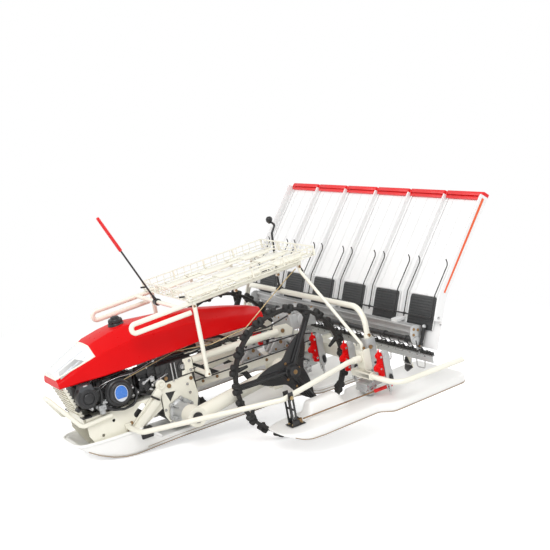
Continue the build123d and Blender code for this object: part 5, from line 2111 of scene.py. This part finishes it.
@dataclass
class SeedlingTray:
    """The sloping six-lane tray that slides sideways.

    Args:
        bottom: (Y, Z) of its lower edge.
        bend: (Y, Z) of its bend.
        top: (Y, Z) of its upper edge.
        half: Half width.
        lanes: X of each lane.
        belt_half: Half width of a feed belt.
        belt_from: Where the belts start on the lower slope.
        belt_to: Where they end.
        rod_offset: Distance of the press rods from a lane's middle.
        rod_lift: Their height over the tray's face.
        rod_from: Where they start on the lower slope.
    """

    bottom: tuple[float, float] = (487.0, 372.0)
    bend: tuple[float, float] = (580.0, 600.0)
    top: tuple[float, float] = (905.0, 1005.0)
    half: float = 905.0
    lanes: tuple[float, ...] = (-750.0, -450.0, -150.0, 150.0, 450.0, 750.0)
    belt_half: float = 102.0
    belt_from: float = 84.0
    belt_to: float = 241.0
    rod_offset: float = 108.0
    rod_lift: float = 27.0
    rod_from: float = 142.0
    lower: Vector = field(init=False)
    upper: Vector = field(init=False)
    lower_out: Vector = field(init=False)
    upper_out: Vector = field(init=False)

    def __post_init__(self) -> None:
        """Works out the directions up the two slopes and off them."""
        bottom, bend, top = (Vector((0, *place)) for place in (self.bottom, self.bend, self.top))
        self.lower = (bend - bottom).normalized()
        self.upper = (top - bend).normalized()
        self.lower_out = Vector((0, -self.lower.z, self.lower.y))
        self.upper_out = Vector((0, -self.upper.z, self.upper.y))

    def on_lower(self, x: float, along: float, lift: float) -> Vector:
        """Gives a place on the lower slope.

        Args:
            x: X of the place.
            along: Distance from the lower edge.
            lift: Distance off the face.

        Returns:
            The place.
        """
        return Vector((x, *self.bottom)) + self.lower * along + self.lower_out * lift

    def on_upper(self, x: float, along: float, lift: float) -> Vector:
        """Gives a place on the upper slope.

        Args:
            x: X of the place.
            along: Distance from the bend.
            lift: Distance off the face.

        Returns:
            The place.
        """
        return Vector((x, *self.bend)) + self.upper * along + self.upper_out * lift

    def build(self) -> None:
        """Builds the lanes' ridges, belts, caps, rods and the flange's stripe."""
        self._ridges()
        self._belts()
        self._caps()
        self._rods()
        self._flange()

    def _ridges(self) -> None:
        """Builds the low ridges that run up each lane."""
        ridges = Form()
        side = Vector((3.5, 0, 0))
        for lane in self.lanes:
            for x in (lane - 88, lane, lane + 88):
                start, end = self.on_upper(x, 14, 0.4), self.on_upper(x, 508, 0.4)
                ridge = [start - side, start + side, end + side, end - side]
                ridges.slab(ridge, self.upper_out * 1.4)
            for x in (lane - 128, lane + 128):
                ridges.tube([
                    self.on_lower(x, 138, 5), self.on_lower(x, 246, 5), self.on_upper(x, 6, 5),
                    self.on_upper(x, 512, 5),
                ], 3.2, 14)
        ridges.piece("lane_ridges", PAINT.tray_white, "tray")

    def _belts(self) -> None:
        """Builds the studded feed belts in their lower windows."""
        half, start, end = self.belt_half, self.belt_from, self.belt_to
        outline = [
            (-half, start), (half, start), (half, end - 15), (half - 6, end - 2), (half - 16, end),
            (16 - half, end), (6 - half, end - 2), (-half, end - 15),
        ]
        edge = [
            (-half - 4, start + 2), (-half - 4, end - 3), (6 - half, end + 5), (half - 6, end + 5),
            (half + 4, end - 3), (half + 4, start + 2),
        ]
        for index, lane in enumerate(self.lanes, start=1):
            belt = Form()
            corners = [self.on_lower(lane + x, along, 0.4) for x, along in outline]
            belt.slab(corners, self.lower_out * 7.4, 1.2)
            for row in range(11):
                shift = 3.2 if row % 2 else -3.2
                for column in range(15):
                    x = lane - 91 + column * 13 + shift
                    foot = self.on_lower(x, start + 10 + row * 13.4, 7.4)
                    belt.rod(foot, foot + self.lower_out * 4.2, 3.0, 1.6, 6)
            stands = ("feed_belts",) if index == 1 else ()
            belt.piece(f"feed_belt_{index}", PAINT.belt, "tray", stands)
            window = Form().tube([self.on_lower(lane + x, along, 6) for x, along in edge], 2.6, 8)
            window.block(self.on_lower(lane, end + 8, 4), (16, 4, 4), 2)
            window.piece(f"belt_window_{index}", PAINT.tray_white, "tray")

    def _caps(self) -> None:
        """Builds the red end caps with their grip notches."""
        tilt = Matrix.Rotation(math.atan2(self.upper.z, self.upper.y) - math.pi / 2, 4, "X")
        middle = Vector((0, *self.top)) + self.upper * 11 - self.upper_out * 2.5
        for index, lane in enumerate(self.lanes, start=1):
            cap = Form()
            at = middle + Vector((lane, 0, 0))
            cap.box(at - Vector((141, 18, 9.6)), at + Vector((141, 18, 12)), 4, tilt)
            skirt = at - self.upper * 22
            cap.box(skirt - Vector((141, 12, 5)), skirt + Vector((141, 12, 11)), 3, tilt)
            for x in range(-116, 117, 58):
                spot = at + Vector((x, 0, 0)) + self.upper * 9.4
                cap.block(spot, (24, 13, 1.4), 1.2, tilt)
            for x in (-136, 136):
                spot = at + Vector((x, 0, 0)) - self.upper * 6 + self.upper_out * 16
                cap.block(spot, (4, 4, 8), 1.4, tilt)
            stands = ("tray_caps",) if index == 1 else ()
            cap.piece(f"lane_cap_{index}", PAINT.red_cap, "tray", stands)

    def _rods(self) -> None:
        """Builds the press rods over the lanes with their cross bar and clips."""
        rods = Form()
        clips = Form()
        lift = self.rod_lift
        for lane in self.lanes:
            for x in (lane - self.rod_offset, lane + self.rod_offset):
                rods.tube([
                    self.on_lower(x, self.rod_from - 14, lift), self.on_lower(x, 244, lift),
                    self.on_upper(x, 0, lift), self.on_upper(x, 150, lift),
                    self.on_upper(x, 164, lift + 7), self.on_upper(x, 174, lift + 20),
                ], 2.9, 12)
                at = self.on_lower(x, self.rod_from, lift)
                clips.pin(x - 7, x + 7, at.yz, 6, 6, 16, 1)
        rods.pin(-895, 895, self.on_lower(0, self.rod_from, lift).yz, 3.6, 3.6, 14)
        rods.piece("lane_press_rods", PAINT.black_paint, "tray", ("press_rods",))
        clips.piece("rod_clips", PAINT.black_plastic, "tray")

    def _flange(self) -> None:
        """Builds the stripe, rims and bolts of the side flanges, and the struts under them."""
        stripe = Form()
        rims = Form()
        strut = Form()
        joint = Form()
        bolts = Form()
        for sign in (1, -1):
            x = sign * (self.half + 0.2)
            low, high = self.on_upper(x, 20, 12), self.on_upper(x, 505, 12)
            band = [low, high, high + self.upper_out * 13, low + self.upper_out * 9]
            stripe.slab(band, (sign * 0.9, 0, 0))
            x = sign * (self.half - 4)
            for lift, fold, after in ((37, 232, 14), (2, 244, 4)):
                rims.tube([
                    self.on_lower(x, 138, lift), self.on_lower(x, fold, lift),
                    self.on_upper(x, after, lift), self.on_upper(x, 514, lift),
                ], 4.6, 14)
            low, high = (self.on_lower(sign * 812, along, 24) for along in (22, 92))
            strut.rod(low, high, 6, 11, 24, 2)
            strut.rod(low - self.lower * 14, low, 8, 8, 20, 1)
            joint.ball(high + self.lower * 6, (10, 10, 10))
            bolts.bolt(self.on_lower(sign * self.half, 150, 20), (sign, 0, 0), 5)
            bolts.bolt(self.on_lower(sign * self.half, 120, 3), (sign, 0, 0), 4)
        stripe.piece("flange_stripe", PAINT.orange, "tray")
        rims.piece("flange_rims", PAINT.tray_white, "tray")
        strut.piece("tray_struts", PAINT.black_plastic)
        joint.piece("tray_joints", PAINT.cast)
        bolts.piece("flange_bolts", PAINT.steel, "tray")


@dataclass
class Rack:
    """The dressing of the spare seedling rack: wires, clamps and bolts.

    Args:
        half: Half width of the basket.
        front: Y of its front edge.
        rear: Y of its rear edge.
        height: Height of its tubes over the axle.
        slope: Rise of its tubes along the machine.
        inset: Distance of the wires from the basket's outline.
        tube_x: X of its side tubes.
    """

    half: float = 275.0
    front: float = -420.0
    rear: float = 300.0
    height: float = 798.0
    slope: float = 0.0667
    inset: float = 4.0
    tube_x: float = 250.0

    def level(self, y: float) -> float:
        """Gives the height of the rack tubes at a station."""
        return self.height + self.slope * y

    def build(self) -> None:
        """Builds the wires, the plates and the clamps."""
        self._wires()
        self._plates()
        self._clamps()

    def _wires(self) -> None:
        """Builds the wire basket: its floor, its two hoops and its uprights."""
        wires = Form()
        side, front, rear = self.half - self.inset, self.front + self.inset, self.rear - self.inset

        runs = [((x, front), (x, rear), 17, 17, 1.7) for x in range(-256, 257, 64)]
        for rise in (30, 58):
            runs += [((x, front), (x, rear), rise, rise, 2.0) for x in (side, -side)]
            runs += [((-side, y), (side, y), rise, rise, 2.0) for y in (front, rear)]
        step = (rear - front) / 18
        posts = [(x, front + index * step) for index in range(19) for x in (side, -side)]
        posts += [(index * side / 7 - side, y) for index in range(15) for y in (front, rear)]
        runs += [(post, post, 13, 60, 1.7) for post in posts]
        for start, end, low, high, radius in runs:
            ends = ((*start, low), (*end, high))
            wires.tube([(x, y, self.level(y) + rise) for x, y, rise in ends], radius)
        wires.piece("basket_wires", PAINT.cream)

    def _plates(self) -> None:
        """Builds the folded edges and tabs of the flat plates."""
        plates = Form()
        lean = Matrix.Rotation(self.slope, 4, "X")
        for x in (-170, 0, 170):
            for y in (-300, -60, 180):
                z = self.level(y) + 17
                plates.block(Vector((x, y, z)), (42, 74, 1.6), 1.2, lean)
                for edge in (x - 42.5, x + 42.5):
                    plates.block(Vector((edge, y, z - 4)), (1.5, 74, 5), 0.8, lean)
        plates.piece("rack_plates", PAINT.cream)

    def _clamps(self) -> None:
        """Builds the clamps on the tubes, with their bolts and dark pins."""
        clamps = Form()
        bolts = Form()
        pins = Form()
        front, rear = self.level(-420) + 34, self.level(214) - 22
        for sign in (1, -1):
            x = sign * self.tube_x
            for y in (-390, -160, 80, 205):
                z = self.level(y)
                clamps.rod((x, y - 9, z), (x, y + 9, z), 15.5, 15.5, 24, 1.5)
                clamps.block(Vector((x, y, z - 17)), (9, 7, 9), 2)
                bolts.bolt((x + sign * 9, y, z - 19), (sign, 0, 0), 5)
            clamps.rod((x, -387.7, 403), (x, -387.7, 432), 17, 14, 24, 2)
            bolts.bolt((x + sign * 12, -387.7, 415), (sign, 0, 0), 5.5)
            tip = (sign * 232, -448, self.level(-440) + 40)
            pins.rod((sign * 232, -420, front), tip, 4.5, 4.5, 14, 1)
            pins.rod((sign * 236, 214, rear), (sign * 228, 236, rear - 32), 7, 5, 16, 1)
        clamps.piece("rack_clamps", PAINT.cream)
        bolts.piece("rack_bolts", PAINT.zinc)
        pins.piece("rack_pins", PAINT.black_plastic)


@dataclass
class TubeWork:
    """The bolts, brackets, rods and cables round the tubes behind the engine.

    Args:
        side_x: X of the side floats' middle.
    """

    side_x: float = 610.0

    def build(self) -> None:
        """Builds all of them."""
        self._brackets()
        self._cables()
        self._links()

    def _brackets(self) -> None:
        """Builds the brackets and bolts at the ends of the tubes."""
        brown = Form()
        cream = Form()
        for sign in (1, -1):
            x = sign * self.side_x
            for at, y, z, size in (
                (x + sign * 16, 262, 344, 9), (x + sign * 16, 262, 288, 6),
                (x + sign * 26, 300, 404, 8), (x + sign * 12, 270, 404, 6),
                (sign * 614, 315, 454, 7), (sign * 119, 120, 466, 8), (sign * 136, -792, 250, 6),
            ):
                brown.bolt((at, y, z), (sign, 0, 0), size)
            cream.rod((x, 205, 357), (x, 252, 357), 17, 17, 28, 2)
            cream.pin(x - sign * 22, x + sign * 98, (236.7, 287), 17.5, 17.5, 28, 2)
            cream.pin(x + sign * 96, x + sign * 104, (236.7, 287), 19, 19, 28, 1.5)
            cream.rod((sign * 600, 315, 436), (sign * 600, 315, 458), 18, 18, 28, 2)
            cream.box((sign * 122, -806, 234), (sign * 130, -774, 266), 3)
            plate = [(244, 300), (290, 300), (290, 402), (258, 402)]
            cream.side_plate(plate, x + sign * 25, x + sign * 29, 1)
        brown.piece("tube_bolts", PAINT.zinc)
        cream.piece("tube_sleeves", PAINT.cream)

    def _cables(self) -> None:
        """Builds the long rods and cables that run back to the planting unit."""
        cables = Form().tubes(
            4.2, 120,
            [(96, -600, 506), (104, -420, 512), (98, -200, 504), (90, 60, 500), (70, 190, 520)],
            [(-96, -600, 500), (-104, -420, 512), (-98, -200, 504), (-80, 190, 520)],
        )
        cables.tubes(
            3.4, 120,
            [(84, -560, 498), (96, -380, 494), (70, -100, 520), (60, 180, 545)],
            [(126, -420, 425), (130, -100, 430), (132, 200, 428), (150, 288, 410)],
            [(124, -410, 360), (128, -120, 366), (130, 190, 372), (140, 270, 380)],
            [(-126, -420, 425), (-130, -100, 430), (-140, 270, 420)],
        )
        cables.tube([
            (60, -380, 540), (70, -300, 528), (88, -180, 476), (96, -60, 450), (100, 120, 430),
        ], 3.0, 80)
        cables.piece("control_rods", PAINT.black_paint)
        casing = Form().box((-30, -470, 380), (52, -404, 500), 8)
        casing.box((-46, -398, 496), (46, -330, 530), 8)
        casing.tube([
            (20, -430, 520), (40, -330, 536), (50, -200, 520), (52, -120, 470), (40, -60, 420),
        ], 7, 60)
        casing.side_plate([(-380, 440), (-240, 350), (-330, 346), (-396, 400)], 60, 66, 2)
        casing.piece("drive_casing", PAINT.black_plastic)
        wires = Form().tube([
            (104, -470, 530), (150, -300, 520), (200, -120, 560), (236, 120, 740), (240, 190, 784),
        ], 2.6, 30)
        wires.tube([(76, -470, 520), (80, -380, 500), (84, -280, 520), (88, -180, 508)], 1.8, 30)
        wires.piece("pale_wires", PAINT.brass)

    def _links(self) -> None:
        """Builds the bolts, stops and pin of the side floats' slotted links."""
        steel = Form()
        dark = Form()
        for sign in (1, -1):
            x = sign * self.side_x
            for place in (x - 19, x + 19):
                steel.bolt((place, -182, 162), UP, 5)
                steel.bolt((place, -132, 162), UP, 5)
            steel.bolt((x + sign * 31, -170, 295), (sign, 0, 0), 7)
            dark.box((x - 33, -196, 156.4), (x + 33, -120, 161), 2)
            ear = [(-190, 160), (-150, 160), (-150, 184), (-182, 184)]
            dark.side_plate(ear, x + sign * 26, x + sign * 31, 1.5)
            ear = [(-160, 161), (-124, 161), (-140, 190), (-158, 190)]
            dark.side_plate(ear, x - sign * 6, x + sign * 4, 1.5)
            dark.pin(x - 28, x + 28, (-170, 236), 5, 5, 16)
        steel.piece("link_bolts", PAINT.brass)
        dark.piece("link_feet", PAINT.black_paint)


@dataclass
class Controls:
    """The handle grips, the gear lever's knob and the markers.

    Args:
        lever_x: X of the gear lever.
        pivot: Where the centre marker folds.
        lean: Angle of the centre marker from upright, in degrees.
    """

    lever_x: float = -200.0
    pivot: tuple[float, float, float] = (0.0, -470.0, 766.65)
    lean: float = 24.0

    def build(self) -> None:
        """Builds each of them."""
        self._grips()
        self._lever()
        self._centre_marker()
        for side, sign in SIDES:
            self._side_marker(side, sign)

    def _placed(self, node: str) -> list[Vector]:
        """Gives the points of a carried-over node on the level machine.

        Args:
            node: Node name.

        Returns:
            Its points, in millimetres.
        """
        back = PARK.inverted()
        return [back @ vert.co for vert in frame["nodes"][node].data.vertices]

    def _grips(self) -> None:
        """Builds the ribbed grips over the handlebars' ends and the clutch levers."""
        low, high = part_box("handle_grips")
        axis = Vector((0, 128, 34)).normalized()
        grips = Form()
        levers = Form()
        points = self._placed("handle_grips")
        for sign in (1, -1):
            centre = mean([p for p in points if p.x * sign > 0])
            start, end = centre - axis * 59.6, centre + axis * 59.6
            grips.rod(start, end, 16.6, 16.6, 32, 2)
            for index in range(13):
                grips.ring(start + axis * (6 + index * 9), axis, 16.4, 1.6, 28)
            grips.rod(start - axis * 0.2, start + axis * 6, 20, 19, 32, 2)
            levers.tube([
                start - axis * 60 + Vector((0, 0, -8)), start - axis * 10 + Vector((0, 6, -36)),
                end - axis * 10 + Vector((0, 0, -44)),
            ], 4, 16)
            pad = start - axis * 66 + Vector((0, 0, -6))
            levers.pin(pad.x - 14, pad.x + 14, pad.yz, 12, 12, 20, 2)
        grips.piece("grip_sleeves", PAINT.black_plastic, CHASSIS, ("handle_grips",))
        levers.piece("clutch_levers", PAINT.black_paint)
        LOG.info("grips lie between %s and %s", tuple(low), tuple(high))

    def _lever(self) -> None:
        """Builds the gear lever's round knob and its boot."""
        profile = [(0, 0), (0, 8), (6, 10), (14, 16.6), (24, 18), (32, 15), (37, 8), (38, 0)]
        knob = Form().turned(profile, (self.lever_x, 328, 958), UP, 32)
        profile = [(0, 0), (0, 22), (8, 20), (14, 13), (20, 12), (26, 8), (28, 0)]
        knob.turned(profile, (self.lever_x, 315, 600), UP, 32)
        knob.piece("lever_knob", PAINT.black_plastic)

    def _centre_marker(self) -> None:
        """Builds the centre marker: collar, rod and red grip."""
        pivot, lean = Vector(self.pivot), math.radians(self.lean)
        along = Vector((0, -math.sin(lean), math.cos(lean)))
        rod = Form().rod(pivot + along * 12, pivot + along * 324, 4.6, 4.6, 20)
        rod.turned([
            (-16, 10.1), (-16, 16), (-14, 17.6), (14, 17.6), (16, 16), (16, 10.1), (-16, 10.1),
        ], pivot, LEFT, 32)
        rod.rod(pivot + along * 12, pivot + along * 40, 9, 6, 20, 1)
        rod.piece("centre_marker_rod", PAINT.black_paint, "centre_marker", ("centre_marker",))
        grip = Form().rod(pivot + along * 316, pivot + along * 516, 8.6, 7.6, 24, 2.5)
        for reach in range(408, 500, 13):
            grip.ring(pivot + along * reach, along, 7.8, 1.1, 20)
        grip.piece("centre_marker_grip", PAINT.red_cap, "centre_marker")

    def _side_marker(self, side: str, sign: float) -> None:
        """Builds one side marker: collar, thin rod and red grip.

        Args:
            side: Name of the side.
            sign: 1 for the left side, -1 for the right.
        """
        body = f"side_marker_{side}"
        points = self._placed(body)
        front, rear = min(p.y for p in points), max(p.y for p in points)
        tip = mean([p for p in points if p.y > rear - 6])
        collar = mean([p for p in points if p.y < front + 24])
        along = Vector((sign * 52, 390, 26)).normalized()
        rod = Form().rod(tip - along * 478, tip - along * 90, 3.4, 3.4, 16)
        rod.turned([
            (-9, 6.4), (-9, 10.4), (-7, 11.4), (7, 11.4), (9, 10.4), (9, 6.4), (-9, 6.4),
        ], (sign * 622, -138, collar.z), (0, -0.0349, 1), 28)
        rod.piece(f"side_marker_rod_{side}", PAINT.zinc, body, (body,))
        grip = Form().rod(tip - along * 98, tip, 8.6, 9.4, 24, 3)
        grip.ring(tip - along * 90, along, 8.2, 1.4, 20)
        grip.piece(f"side_marker_grip_{side}", PAINT.red_cap, body)


BY_SLOT = {
    "cream_paint": PAINT.cream,
    "red_paint": PAINT.red,
    "black_paint": PAINT.black_paint,
    "cast_metal": PAINT.cast,
    "steel": PAINT.steel,
    "white_plastic": PAINT.tray_white,
    "red_plastic": PAINT.red_cap,
    "black_plastic": PAINT.black_plastic,
    "tyre_rubber": PAINT.rubber,
    "black_rubber": PAINT.belt,
    "lamp_lens": PAINT.lens,
    "engine_metal": PAINT.dark_cast,
    "cast_iron": PAINT.cast,
}


def main() -> None:
    """Builds every part of the machine and the studio in order."""
    logging.basicConfig(level=logging.INFO, format="%(message)s")
    bpy.context.scene.view_settings.view_transform = "Standard"
    Studio().build()
    for side, sign in SIDES:
        Wheel(side, sign).build()
        SideFloat(side, sign).build()
    CentreFloat().build()
    Bonnet().build()
    EngineSide().build()
    FrontFrame().build()
    PlantingUnit().build()
    SeedlingTray().build()
    Rack().build()
    TubeWork().build()
    Controls().build()
    slots = {part["node"]: part["material_slot"] for part in frame["record"]["subparts"]}
    for node in frame["nodes"]:
        dress(node, BY_SLOT[slots[node]])


if __name__ == "__main__":
    main()
